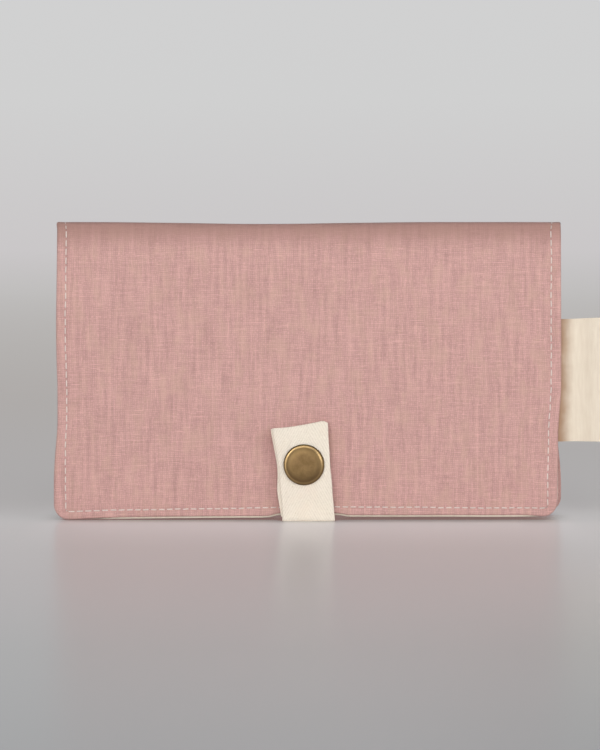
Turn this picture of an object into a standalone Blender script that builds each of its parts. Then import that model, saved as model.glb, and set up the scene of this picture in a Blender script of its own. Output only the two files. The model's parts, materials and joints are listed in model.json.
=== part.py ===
"""Travel document cover: two lined cloth panels joined by a fold, closed by a tape strap and a press stud.

The cover stands on its long open edge like a narrow tent, with the fold at the top.
X runs along the cover's length, -Y is the front and Z is up.
The origin is on the underside of the strap, where the cover rests.
Every panel is built in the frame of its own hinge line and then leaned by the tent's angle.
"""

import math

import bmesh
import bpy
from mathutils import Vector

# Driving sizes of the closed cover
COVER_WIDTH = 0.210
COVER_HEIGHT = 0.124
FOLD_WIDTH = 0.008
FOOT_DEPTH = 0.018
FOLD_RADIUS = 0.0035
CORNER_RADIUS = 0.0055

# Cloth layers, counted inwards from the outer face, and the gap between any two
GAP = 0.0003
OUTER_THICKNESS = 0.0008
STIFFENER_THICKNESS = 0.0010
LINING_THICKNESS = 0.0006
POCKET_THICKNESS = 0.0006
HEM_WIDTH = 0.0010
STIFFENER_INSET = 0.0060
FOLD_PADDING_WIDTH = 0.0010
POCKET_INSET = 0.0015
INNER_CORNER_RADIUS = 0.0010

# Pockets, by the height of their mouths above the foot
PASSPORT_POCKET_HEIGHT = 0.092
TICKET_POCKET_HEIGHT = 0.100
CARD_POCKET_HEIGHT = 0.055

# Seams
SEAM_INSET = 0.0035
STITCH_PITCH = 0.0033
STITCH_WIDTH = 0.0007
STITCH_THICKNESS = 0.00035
STITCH_DIP_SHARE = 0.4

# Tape strap, two plies thick, sewn to the back and leaning across the front
TAPE_WIDTH = 0.0225
TAPE_THICKNESS = 0.00065
ARCH_CLEARANCE = 0.0004
ANCHOR_HEIGHT = 0.045
ANCHOR_SEAM_SIDE = 0.016
FLAP_HEIGHT = 0.0395
FLAP_LEAN = math.radians(4.8)
FLAP_END_RISE = 0.0040
FLAP_CORNER = 0.0016
INNER_PLY_SHIFT = 0.0006
INNER_PLY_DROP = 0.0007

# Press stud
SNAP_HEIGHT = 0.0234
CAP_RADIUS = 0.0085
CAP_RISE = 0.0018
CAP_RIM = 0.0007
CAP_LIP = 0.0009
SHANK_RADIUS = 0.0013
SOCKET_RADIUS = 0.00575
SOCKET_HEIGHT = 0.0022
SOCKET_FLOOR = 0.0006
STUD_FLANGE_RADIUS = 0.0055
STUD_FLANGE_THICKNESS = 0.0006
STUD_RADIUS = 0.0026
STUD_NECK_RADIUS = 0.0022
STUD_ROOF = 0.0005
POST_FLANGE_RADIUS = 0.0050
POST_FLANGE_THICKNESS = 0.0005
SPRING_WIRE_RADIUS = 0.00025
SNAP_STEPS = 32

# Sewn-in label, its place measured from the foot
LABEL_HEIGHT = 0.0505
LABEL_CENTRE = 0.0585
LABEL_REACH = 0.0280
LABEL_THICKNESS = 0.0007
LABEL_ROOT = 0.0045
LABEL_NECK = 0.0006
LABEL_WAVE = 0.0022

# Counts of points on curves
CORNER_STEPS = 5
FOOT_STEPS = 20
FOLD_STEPS = 4
ROUND_STEPS = 8
LABEL_STEPS = 14
WIRE_STEPS = 8
DOME_STEPS = 6

# How far a cutter runs past what it cuts
OVERRUN = 0.002

# Sizes that follow
TILT = math.atan((FOOT_DEPTH - FOLD_WIDTH) / 2 / COVER_HEIGHT)
PANEL_LENGTH = COVER_HEIGHT / math.cos(TILT)
MITRE = (math.pi / 2 + TILT) / 2
STIFFENER_DEPTH = OUTER_THICKNESS + GAP
LINING_DEPTH = STIFFENER_DEPTH + STIFFENER_THICKNESS + GAP
PANEL_THICKNESS = LINING_DEPTH + LINING_THICKNESS
POCKET_DEPTH = PANEL_THICKNESS + GAP
CARD_POCKET_DEPTH = POCKET_DEPTH + POCKET_THICKNESS + GAP
RIM_DEPTH = LINING_DEPTH - GAP
STRAP_THICKNESS = 2 * TAPE_THICKNESS + GAP
STRAP_RADIUS = STRAP_THICKNESS / 2
ARCH_RISE = STRAP_THICKNESS + ARCH_CLEARANCE
ANCHOR_LIFT = GAP + STITCH_THICKNESS + GAP
STUD_HEIGHT = STUD_FLANGE_THICKNESS + SOCKET_HEIGHT - SOCKET_FLOOR
SOCKET_BASE = GAP + STUD_FLANGE_THICKNESS + GAP
STRAP_STANDOFF = SOCKET_BASE + SOCKET_HEIGHT + GAP
CAP_BASE = STRAP_STANDOFF + STRAP_THICKNESS + GAP
SHANK_HOLE_RADIUS = SHANK_RADIUS + GAP
SOCKET_BORE_RADIUS = STUD_RADIUS + GAP
SPRING_RADIUS = SOCKET_BORE_RADIUS + SPRING_WIRE_RADIUS + GAP / 2
LABEL_DEPTH = OUTER_THICKNESS + GAP
SNAP_X = -SNAP_HEIGHT * math.tan(FLAP_LEAN) + STRAP_RADIUS * math.tan(FLAP_LEAN)

# The two ways a panel can face: its inside is towards +Y on the front and towards -Y on the back
FRONT = 1
BACK = -1


def clear_scene():
    for old in list(bpy.data.objects):
        bpy.data.objects.remove(old, do_unlink=True)


def make_material(name, colour, roughness, metallic=0.0):
    material = bpy.data.materials.new(name)
    material.use_nodes = True
    shader = material.node_tree.nodes["Principled BSDF"]
    shader.inputs["Base Color"].default_value = (*colour, 1.0)
    shader.inputs["Roughness"].default_value = roughness
    shader.inputs["Metallic"].default_value = metallic
    material.diffuse_color = (*colour, 1.0)
    return material


def make_empty(name, location, lean=0.0, parent=None):
    empty = bpy.data.objects.new(name, None)
    bpy.context.scene.collection.objects.link(empty)
    empty.location = location
    empty.rotation_euler = (lean, 0, 0)
    empty.parent = parent
    return empty


def make_object(name, mesh, material, parent, location=(0, 0, 0), rotation=(0, 0, 0)):
    """A named object from a finished bmesh, with all faces turned outwards."""
    bmesh.ops.recalc_face_normals(mesh, faces=mesh.faces)
    data = bpy.data.meshes.new(name)
    mesh.to_mesh(data)
    mesh.free()
    data.materials.append(material)
    made = bpy.data.objects.new(name, data)
    bpy.context.scene.collection.objects.link(made)
    made.parent = parent
    made.location = location
    made.rotation_euler = rotation
    return made


def smooth(made, angle=math.radians(40)):
    made.data.shade_smooth()
    made.data.set_sharp_from_angle(angle=angle)
    return made


def make_cutter(name, mesh, parent, location=(0, 0, 0), rotation=(0, 0, 0)):
    bmesh.ops.recalc_face_normals(mesh, faces=mesh.faces)
    data = bpy.data.meshes.new(name)
    mesh.to_mesh(data)
    mesh.free()
    cutter = bpy.data.objects.new(name, data)
    bpy.context.scene.collection.objects.link(cutter)
    cutter.parent = parent
    cutter.location = location
    cutter.rotation_euler = rotation
    cutter.hide_render = True
    cutter.display_type = "WIRE"
    return cutter


def cut(target, cutter):
    modifier = target.modifiers.new("cut_" + cutter.name, "BOOLEAN")
    modifier.operation = "DIFFERENCE"
    modifier.solver = "EXACT"
    modifier.object = cutter


def loft(loops, closed=False):
    """Bridges loops of equal length; a loft that isn't closed is capped at both ends."""
    mesh = bmesh.new()
    rows = [[mesh.verts.new(point) for point in loop] for loop in loops]
    pairs = list(zip(rows, rows[1:]))
    if closed:
        pairs.append((rows[-1], rows[0]))
    for low, high in pairs:
        for i in range(len(low)):
            j = (i + 1) % len(low)
            mesh.faces.new((low[i], low[j], high[j], high[i]))
    if not closed:
        mesh.faces.new(rows[0])
        mesh.faces.new(rows[-1])
    return mesh


def box(low, high):
    corners = [(low[0], low[1]), (high[0], low[1]), (high[0], high[1]), (low[0], high[1])]
    return loft([[Vector((x, y, z)) for x, y in corners] for z in (low[2], high[2])])


def turned(profile, steps=SNAP_STEPS):
    """A solid turned about Z from (radius, height) pairs, which start and end on the axis."""
    mesh = bmesh.new()
    rows = []
    for radius, height in profile:
        if radius == 0:
            rows.append([mesh.verts.new((0, 0, height))])
            continue
        turn = [2 * math.pi * i / steps for i in range(steps)]
        rows.append(
            [mesh.verts.new((radius * math.cos(a), radius * math.sin(a), height)) for a in turn]
        )
    for low, high in zip(rows, rows[1:]):
        for i in range(steps):
            j = (i + 1) % steps
            if len(low) == 1:
                mesh.faces.new((low[0], high[j], high[i]))
            elif len(high) == 1:
                mesh.faces.new((low[i], low[j], high[0]))
            else:
                mesh.faces.new((low[i], low[j], high[j], high[i]))
    return mesh


def turned_ring(profile, steps=SNAP_STEPS):
    """A ring turned about Z from a closed outline of (radius, height) pairs."""
    turn = [2 * math.pi * i / steps for i in range(steps)]
    loops = [
        [Vector((r * math.cos(a), r * math.sin(a), h)) for r, h in profile] for a in turn
    ]
    return loft(loops, closed=True)


def setback(depth):
    """How far from the sharp outer corner of the fold a layer starts, on either side of the mitre."""
    reach = FOLD_RADIUS / math.tan(MITRE)
    along_mitre = depth / math.tan(MITRE) + GAP / 2 / math.sin(MITRE)
    if depth >= FOLD_RADIUS:
        return along_mitre
    on_round = reach - math.sqrt(FOLD_RADIUS**2 - (FOLD_RADIUS - depth) ** 2)
    return max(along_mitre, on_round)


def foot_line(x, depth, inset):
    """Height of a panel's lower edge in its hinge frame: level on the floor, arched over the strap."""
    arch = ARCH_RISE * (1 + math.cos(2 * math.pi * x / COVER_WIDTH)) / 2
    return -PANEL_LENGTH + depth * math.tan(TILT) + inset + arch


def panel_loop(side, depth, inset, top, wall_depth=None):
    """One closed loop of a panel's outline at a depth: its top edge, sides, round corners and foot."""
    shape_depth = depth if wall_depth is None else wall_depth
    half = COVER_WIDTH / 2 - inset
    radius = max(CORNER_RADIUS - inset, INNER_CORNER_RADIUS)
    bend_x = half - radius
    bend_z = foot_line(bend_x, shape_depth, inset) + radius
    flat = [(half, top)]
    for i in range(CORNER_STEPS + 1):
        angle = math.pi / 2 * i / CORNER_STEPS
        flat.append((bend_x + radius * math.cos(angle), bend_z - radius * math.sin(angle)))
    for i in range(1, FOOT_STEPS):
        x = bend_x * (1 - 2 * i / FOOT_STEPS)
        flat.append((x, foot_line(x, shape_depth, inset)))
    for i in range(CORNER_STEPS + 1):
        angle = math.pi / 2 * i / CORNER_STEPS
        flat.append((-bend_x - radius * math.sin(angle), bend_z - radius * math.cos(angle)))
    flat.append((-half, top))
    return [Vector((x, side * depth, z)) for x, z in flat]


def fold_depths():
    """Depths at which the rounded fold is sampled, from the outer face to the mitre, then the rim."""
    end = FOLD_RADIUS * (1 - math.sin(MITRE))
    shares = [1 - math.cos(math.pi / 2 * i / FOLD_STEPS) for i in range(FOLD_STEPS + 1)]
    return [end * share for share in shares] + [RIM_DEPTH]


def outer_fabric(name, side, material, parent):
    """Outer cloth of a panel: a shallow tray whose turned edges meet the lining."""
    inner_top = -setback(RIM_DEPTH) - HEM_WIDTH
    loops = [panel_loop(side, d, 0, -setback(d)) for d in fold_depths()]
    loops.append(panel_loop(side, RIM_DEPTH, HEM_WIDTH, inner_top))
    loops.append(panel_loop(side, OUTER_THICKNESS, HEM_WIDTH, inner_top, RIM_DEPTH))
    return make_object(name, loft(loops), material, parent)


def panel_layer(name, side, depth, thickness, inset, material, parent, mouth=None):
    """A flat layer of a panel. A mouth is its height above the foot, where it stops short of the fold."""
    loops = []
    for d in (depth, depth + thickness):
        top = -setback(d) - inset if mouth is None else -PANEL_LENGTH + mouth
        loops.append(panel_loop(side, d, inset, top))
    return make_object(name, loft(loops), material, parent)


def fold_loop(depth, inset, width):
    """One closed loop of the fold strip at a depth, in the frame of the back hinge line."""
    half = COVER_WIDTH / 2 - inset
    back_y = (width - FOLD_WIDTH) / 2
    front_y = -(width + FOLD_WIDTH) / 2
    return [
        Vector((half, back_y, -depth)),
        Vector((half, front_y, -depth)),
        Vector((-half, front_y, -depth)),
        Vector((-half, back_y, -depth)),
    ]


def fold_width(depth):
    """Width between the two mitres of the fold at a depth."""
    return FOLD_WIDTH - 2 * setback(depth)


def fold_outer_fabric(material, parent):
    """Outer cloth of the fold: a narrow tray with rounded edges, which holds the padding."""
    hollow = FOLD_PADDING_WIDTH + 2 * GAP
    loops = [fold_loop(d, 0, fold_width(d)) for d in fold_depths()]
    loops.append(fold_loop(RIM_DEPTH, HEM_WIDTH, hollow))
    loops.append(fold_loop(OUTER_THICKNESS, HEM_WIDTH, hollow))
    return make_object("fold_outer_fabric", loft(loops), material, parent)


def fold_padding(material, parent):
    inset = HEM_WIDTH + GAP
    depths = (STIFFENER_DEPTH, RIM_DEPTH)
    loops = [fold_loop(d, inset, FOLD_PADDING_WIDTH) for d in depths]
    return make_object("fold_padding", loft(loops), material, parent)


def fold_lining(material, parent):
    depths = (LINING_DEPTH, PANEL_THICKNESS)
    loops = [fold_loop(d, 0, fold_width(d)) for d in depths]
    return make_object("fold_lining", loft(loops), material, parent)


def seam_mesh(path, outward, closed=False):
    """One continuous thread along straight stretches: a bead for each stitch, thin where it dips."""
    stations = []
    for start, end in zip(path, path[1:]):
        run = end - start
        count = max(1, round(run.length / STITCH_PITCH))
        for i in range(count):
            stations.append((start + run * (i / count), STITCH_DIP_SHARE))
            stations.append((start + run * ((i + 0.5) / count), 1))
    if not closed:
        stations.append((path[-1], STITCH_DIP_SHARE))
    loops = []
    for i, (place, share) in enumerate(stations):
        before = stations[i - 1][0] if i > 0 or closed else place
        after = stations[(i + 1) % len(stations)][0] if i + 1 < len(stations) or closed else place
        along = (after - before).normalized()
        wide = along.cross(outward) * (STITCH_WIDTH / 2 * share)
        low = place + outward * GAP
        high = low + outward * (STITCH_THICKNESS * share)
        loops.append([low - wide, low + wide, high + wide, high - wide])
    return loft(loops, closed)


def panel_seam_path(side):
    """Seam line of a panel: down one side, along the arched foot and up the other side."""
    half = COVER_WIDTH / 2 - SEAM_INSET
    top = -FOLD_RADIUS
    flat = [(half, top)]
    for i in range(FOOT_STEPS + 1):
        x = half - 2 * half * i / FOOT_STEPS
        flat.append((x, foot_line(x, 0, SEAM_INSET)))
    flat.append((-half, top))
    return [Vector((x, 0, z)) for x, z in flat]


def panel_seam(name, side, material, parent):
    mesh = seam_mesh(panel_seam_path(side), Vector((0, -side, 0)))
    return make_object(name, mesh, material, parent)


def fold_seam(name, x, material, parent):
    """The side seams run on over the fold."""
    middle = Vector((x, -FOLD_WIDTH / 2, 0))
    half_run = Vector((0, FOLD_WIDTH / 2 - FOLD_RADIUS / 2, 0))
    mesh = seam_mesh([middle - half_run, middle + half_run], Vector((0, 0, 1)))
    return make_object(name, mesh, material, parent)


def strap_anchor(material, parent):
    """The end of the strap that is sewn flat on the back panel."""
    low = -PANEL_LENGTH + (STRAP_THICKNESS + GAP) / math.cos(TILT)
    high = -PANEL_LENGTH + ANCHOR_HEIGHT
    half = TAPE_WIDTH / 2
    mesh = box((-half, ANCHOR_LIFT, low), (half, ANCHOR_LIFT + STRAP_THICKNESS, high))
    return make_object("strap_anchor", mesh, material, parent)


def strap_anchor_seam(material, parent):
    """A square of stitches holds the strap's sewn end."""
    face = ANCHOR_LIFT + STRAP_THICKNESS
    half = ANCHOR_SEAM_SIDE / 2
    middle = -PANEL_LENGTH + ANCHOR_HEIGHT - TAPE_WIDTH / 2
    corners = [(-half, -half), (half, -half), (half, half), (-half, half), (-half, -half)]
    path = [Vector((x, face, middle + z)) for x, z in corners]
    mesh = seam_mesh(path, Vector((0, 1, 0)), closed=True)
    return make_object("strap_anchor_seam", mesh, material, parent)


def strap_underpass(length, material, parent):
    """The run of the strap under both panels, with its round ends on the two fold lines."""
    outline = []
    for centre, start in ((0, math.pi / 2), (-length, -math.pi / 2)):
        for i in range(ROUND_STEPS + 1):
            angle = start - math.pi * i / ROUND_STEPS
            y = centre + STRAP_RADIUS * math.cos(angle)
            outline.append((y, STRAP_RADIUS * math.sin(angle)))
    half = TAPE_WIDTH / 2
    loops = [[Vector((x, y, z)) for y, z in outline] for x in (-half, half)]
    return make_object("strap_underpass", loft(loops), material, parent)


def flap_ply(name, near, drop, shift, material, parent):
    """One ply of the strap's front end. near is its inner face's place across the strap."""
    low = STRAP_RADIUS + GAP
    left_high = FLAP_HEIGHT - FLAP_END_RISE / 2 - drop
    right_high = FLAP_HEIGHT + FLAP_END_RISE / 2 - drop
    half = TAPE_WIDTH / 2
    flat = [(-half, low), (half, low), (half, right_high - FLAP_CORNER)]
    for i in range(CORNER_STEPS + 1):
        angle = math.pi / 2 * i / CORNER_STEPS
        x = half - FLAP_CORNER + FLAP_CORNER * math.cos(angle)
        flat.append((x, right_high - FLAP_CORNER + FLAP_CORNER * math.sin(angle)))
    flat.pop(3)
    flat.append((-half, left_high))
    leaned = [(x + shift - z * math.tan(FLAP_LEAN), z) for x, z in flat]
    loops = [[Vector((x, y, z)) for x, z in leaned] for y in (near, near - TAPE_THICKNESS)]
    return make_object(name, loft(loops), material, parent)


def snap_cap(material, parent, location, rotation):
    """Domed cap with a rolled rim and the shank that goes through the strap into the socket."""
    tip = SOCKET_BASE + SOCKET_HEIGHT - SOCKET_FLOOR + GAP / 2
    profile = [(0, tip), (SHANK_RADIUS, tip), (SHANK_RADIUS, CAP_BASE)]
    profile += [(CAP_RADIUS - CAP_RIM / 2, CAP_BASE), (CAP_RADIUS, CAP_BASE + CAP_RIM / 2)]
    profile += [(CAP_RADIUS, CAP_BASE + CAP_RIM), (CAP_RADIUS - CAP_RIM / 2, CAP_BASE + CAP_LIP)]
    shoulder = CAP_RADIUS - CAP_RIM
    for i in range(DOME_STEPS):
        share = i / DOME_STEPS
        rise = (CAP_RISE - CAP_LIP) * math.sqrt(1 - (1 - share) ** 2)
        profile.append((shoulder * (1 - share), CAP_BASE + CAP_LIP + rise))
    profile.append((0, CAP_BASE + CAP_RISE))
    return smooth(make_object("snap_cap", turned(profile), material, parent, location, rotation))


def snap_socket(material, parent, location, rotation):
    """Ring that grips the stud, grooved for its spring and closed by a floor with the shank's hole."""
    base = SOCKET_BASE
    floor = base + SOCKET_HEIGHT - SOCKET_FLOOR
    top = base + SOCKET_HEIGHT
    groove = SPRING_RADIUS + SPRING_WIRE_RADIUS + GAP
    groove_low = base + (floor - base) / 2 - SPRING_WIRE_RADIUS - GAP / 2
    groove_high = groove_low + 2 * SPRING_WIRE_RADIUS + GAP
    bevel = SOCKET_FLOOR / 2
    outline = [
        (SOCKET_BORE_RADIUS, base),
        (SOCKET_BORE_RADIUS, groove_low),
        (groove, groove_low),
        (groove, groove_high),
        (SOCKET_BORE_RADIUS, groove_high),
        (SOCKET_BORE_RADIUS, floor),
        (SHANK_HOLE_RADIUS, floor),
        (SHANK_HOLE_RADIUS, top),
        (SOCKET_RADIUS, top),
        (SOCKET_RADIUS, base + bevel),
        (SOCKET_RADIUS - bevel, base),
    ]
    mesh = turned_ring(outline)
    return smooth(make_object("snap_socket", mesh, material, parent, location, rotation))


def snap_spring(material, parent, location, rotation):
    """Round wire spring in the socket's groove."""
    middle = SOCKET_BASE + (SOCKET_HEIGHT - SOCKET_FLOOR) / 2
    outline = []
    for i in range(WIRE_STEPS):
        angle = 2 * math.pi * i / WIRE_STEPS
        radius = SPRING_RADIUS + SPRING_WIRE_RADIUS * math.cos(angle)
        outline.append((radius, middle + SPRING_WIRE_RADIUS * math.sin(angle)))
    mesh = turned_ring(outline)
    return smooth(make_object("snap_spring", mesh, material, parent, location, rotation))


def snap_stud(material, parent, location, rotation):
    """Hollow stud on the front panel, with a flange, a neck and a round head."""
    base = GAP
    flange = base + STUD_FLANGE_THICKNESS
    top = base + STUD_HEIGHT
    rise = top - flange
    outline = [
        (SHANK_HOLE_RADIUS, base),
        (STUD_FLANGE_RADIUS, base),
        (STUD_FLANGE_RADIUS, flange),
        (STUD_NECK_RADIUS, flange),
        (STUD_NECK_RADIUS, flange + rise / 3),
        (STUD_RADIUS, flange + rise / 2),
        (STUD_RADIUS, flange + rise * 3 / 4),
        (STUD_NECK_RADIUS, top),
    ]
    profile = [(0, top - STUD_ROOF), (SHANK_HOLE_RADIUS, top - STUD_ROOF)] + outline + [(0, top)]
    return smooth(make_object("snap_stud", turned(profile), material, parent, location, rotation))


def snap_post(material, parent, location, rotation):
    """Flanged post set in the stiffener, with its shank up inside the stud."""
    high = -OUTER_THICKNESS - GAP
    low = high - POST_FLANGE_THICKNESS
    tip = GAP + STUD_HEIGHT - STUD_ROOF - GAP
    profile = [
        (0, low),
        (POST_FLANGE_RADIUS, low),
        (POST_FLANGE_RADIUS, high),
        (SHANK_RADIUS, high),
        (SHANK_RADIUS, tip),
        (0, tip),
    ]
    return smooth(make_object("snap_post", turned(profile), material, parent, location, rotation))


def round_cutter(name, radius, low, high, parent, location, rotation):
    profile = [(0, low), (radius, low), (radius, high), (0, high)]
    return make_cutter(name, turned(profile), parent, location, rotation)


def label_root(material, parent):
    """The stretch of the label that is caught in the front panel's side seam."""
    half = LABEL_HEIGHT / 2
    middle = -PANEL_LENGTH + LABEL_CENTRE
    low = (COVER_WIDTH / 2 - LABEL_ROOT, LABEL_DEPTH, middle - half)
    end = COVER_WIDTH / 2 + LABEL_NECK - LABEL_THICKNESS / 2
    high = (end, LABEL_DEPTH + LABEL_THICKNESS, middle + half)
    return make_object("label_root", box(low, high), material, parent)


def label(material, parent):
    """The free stretch of the label, which bows a little and leaves room to bend at its line."""
    loops = []
    for i in range(LABEL_STEPS + 1):
        share = i / LABEL_STEPS
        x = LABEL_THICKNESS / 2 * (1 - share) + (LABEL_REACH - LABEL_NECK) * share
        bow = LABEL_WAVE * (1 - math.cos(2 * math.pi * share)) / 2
        half_height = LABEL_HEIGHT / 2
        half_thick = LABEL_THICKNESS / 2
        loops.append(
            [
                Vector((x, bow - half_thick, -half_height)),
                Vector((x, bow + half_thick, -half_height)),
                Vector((x, bow + half_thick, half_height)),
                Vector((x, bow - half_thick, half_height)),
            ]
        )
    return make_object("label", loft(loops), material, parent)


def build_panel(side, prefix, parent, looks):
    """Outer cloth, stiffener, lining and seam of one panel."""
    outer = outer_fabric(prefix + "_outer_fabric", side, looks["linen"], parent)
    stiffener = panel_layer(
        prefix + "_stiffener",
        side,
        STIFFENER_DEPTH,
        STIFFENER_THICKNESS,
        STIFFENER_INSET,
        looks["fleece"],
        parent,
    )
    panel_layer(
        prefix + "_lining", side, LINING_DEPTH, LINING_THICKNESS, 0, looks["cotton"], parent
    )
    panel_seam(prefix + "_seam", side, looks["thread"], parent)
    return outer, stiffener


def build_pocket(name, side, depth, mouth, parent, looks):
    panel_layer(
        name, side, depth, POCKET_THICKNESS, POCKET_INSET, looks["cotton"], parent, mouth
    )


def build_fold(parent, looks):
    """Outer cloth, padding, lining and seam of the fold."""
    fold_outer_fabric(looks["linen"], parent)
    fold_padding(looks["fleece"], parent)
    fold_lining(looks["cotton"], parent)
    fold_seam("fold_seam_left", SEAM_INSET - COVER_WIDTH / 2, looks["thread"], parent)
    fold_seam("fold_seam_right", COVER_WIDTH / 2 - SEAM_INSET, looks["thread"], parent)


def build_strap(back, looks):
    """The sewn end, the run underneath and the front end; returns the front end's frame."""
    strap_anchor(looks["tape"], back)
    strap_anchor_seam(looks["thread"], back)
    slope = (COVER_HEIGHT - STRAP_RADIUS) * math.tan(TILT)
    back_y = FOLD_WIDTH / 2 + slope + (ANCHOR_LIFT + STRAP_RADIUS) / math.cos(TILT)
    front_y = -FOLD_WIDTH / 2 - slope - (STRAP_STANDOFF + STRAP_RADIUS) / math.cos(TILT)
    under = make_empty("strap_under_line", (0, back_y, STRAP_RADIUS))
    strap_underpass(back_y - front_y, looks["tape"], under)
    flap = make_empty("strap_front_line", (0, front_y - back_y, 0), -TILT, under)
    inner = flap_ply(
        "strap_inner_ply", STRAP_RADIUS, INNER_PLY_DROP, -INNER_PLY_SHIFT, looks["tape"], flap
    )
    outer = flap_ply("strap_outer_ply", TAPE_THICKNESS - STRAP_RADIUS, 0, 0, looks["tape"], flap)
    return flap, inner, outer


def build_snap(front, flap, holed_panel, holed_strap, looks):
    """All pieces of the press stud share one axis, square to the front panel."""
    outward = (math.pi / 2, 0, 0)
    drop = (COVER_HEIGHT - SNAP_HEIGHT) / math.cos(TILT)
    on_panel = Vector((SNAP_X, 0, -drop))
    bpy.context.view_layer.update()
    on_strap = flap.matrix_world.inverted() @ front.matrix_world @ on_panel
    snap_stud(looks["brass"], front, on_panel, outward)
    snap_post(looks["brass"], front, on_panel, outward)
    snap_cap(looks["brass"], flap, on_strap, outward)
    snap_socket(looks["brass"], flap, on_strap, outward)
    snap_spring(looks["brass"], flap, on_strap, outward)
    outer, stiffener = holed_panel
    through = OVERRUN + GAP
    shank = round_cutter(
        "cut_post_hole", SHANK_HOLE_RADIUS, -through, through, front, on_panel, outward
    )
    cut(outer, shank)
    seat = round_cutter(
        "cut_post_seat",
        POST_FLANGE_RADIUS + GAP,
        -LINING_DEPTH,
        through,
        front,
        on_panel,
        outward,
    )
    cut(stiffener, seat)
    tape_hole = round_cutter(
        "cut_tape_hole",
        SHANK_HOLE_RADIUS,
        STRAP_STANDOFF - OVERRUN,
        CAP_BASE + OVERRUN,
        flap,
        on_strap,
        outward,
    )
    for ply in holed_strap:
        cut(ply, tape_hole)


def build_label(front, outer, looks):
    """The label, its sewn root and the slot for it in the turned edge."""
    label_root(looks["ribbon"], front)
    middle = -PANEL_LENGTH + LABEL_CENTRE
    half = LABEL_HEIGHT / 2 + GAP
    low = (COVER_WIDTH / 2 - HEM_WIDTH - OVERRUN, LABEL_DEPTH - GAP / 2, middle - half)
    high = (COVER_WIDTH / 2 + OVERRUN, RIM_DEPTH + OVERRUN, middle + half)
    cut(outer, make_cutter("cut_label_slot", box(low, high), front))
    place = (COVER_WIDTH / 2 + LABEL_NECK, LABEL_DEPTH + LABEL_THICKNESS / 2, middle)
    turn = make_empty("label_line", place, 0, front)
    label(looks["ribbon"], turn)


def build_cover():
    clear_scene()
    looks = {
        "linen": make_material("pink_linen", (0.60, 0.36, 0.325), 0.9),
        "cotton": make_material("cream_cotton", (0.80, 0.72, 0.60), 0.9),
        "fleece": make_material("white_fleece", (0.82, 0.82, 0.80), 1.0),
        "thread": make_material("pale_thread", (0.78, 0.68, 0.62), 0.8),
        "tape": make_material("cream_tape", (0.86, 0.77, 0.64), 0.9),
        "ribbon": make_material("cream_ribbon", (0.80, 0.69, 0.55), 0.8),
        "brass": make_material("aged_brass", (0.42, 0.29, 0.14), 0.35, 1.0),
    }
    back = make_empty("back_line", (0, FOLD_WIDTH / 2, COVER_HEIGHT), TILT)
    fold = make_empty("fold_line", (0, FOLD_WIDTH / 2, COVER_HEIGHT))
    front = make_empty("front_line", (0, -FOLD_WIDTH, 0), -TILT, fold)
    build_panel(BACK, "back", back, looks)
    build_pocket("ticket_pocket", BACK, POCKET_DEPTH, TICKET_POCKET_HEIGHT, back, looks)
    build_pocket("card_pocket", BACK, CARD_POCKET_DEPTH, CARD_POCKET_HEIGHT, back, looks)
    build_fold(fold, looks)
    front_outer, front_stiffener = build_panel(FRONT, "front", front, looks)
    build_pocket("passport_pocket", FRONT, POCKET_DEPTH, PASSPORT_POCKET_HEIGHT, front, looks)
    flap, inner_ply, outer_ply = build_strap(back, looks)
    build_label(front, front_outer, looks)
    build_snap(front, flap, (front_outer, front_stiffener), (inner_ply, outer_ply), looks)


build_cover()
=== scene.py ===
"""Looks of a travel document cover: pink linen panels, a tape strap with a press stud, and a sewn-in label.

Cloth points are found from (x, u): x runs along the cover, and u runs over the cloth from the
middle of the fold, down the front for positive u and down the back for negative u.
All sizes are in metres; texture coordinates and the patterns on them are in millimetres.
"""

import json
import math
from collections import namedtuple

import bmesh
import bpy
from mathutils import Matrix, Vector, noise

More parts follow.
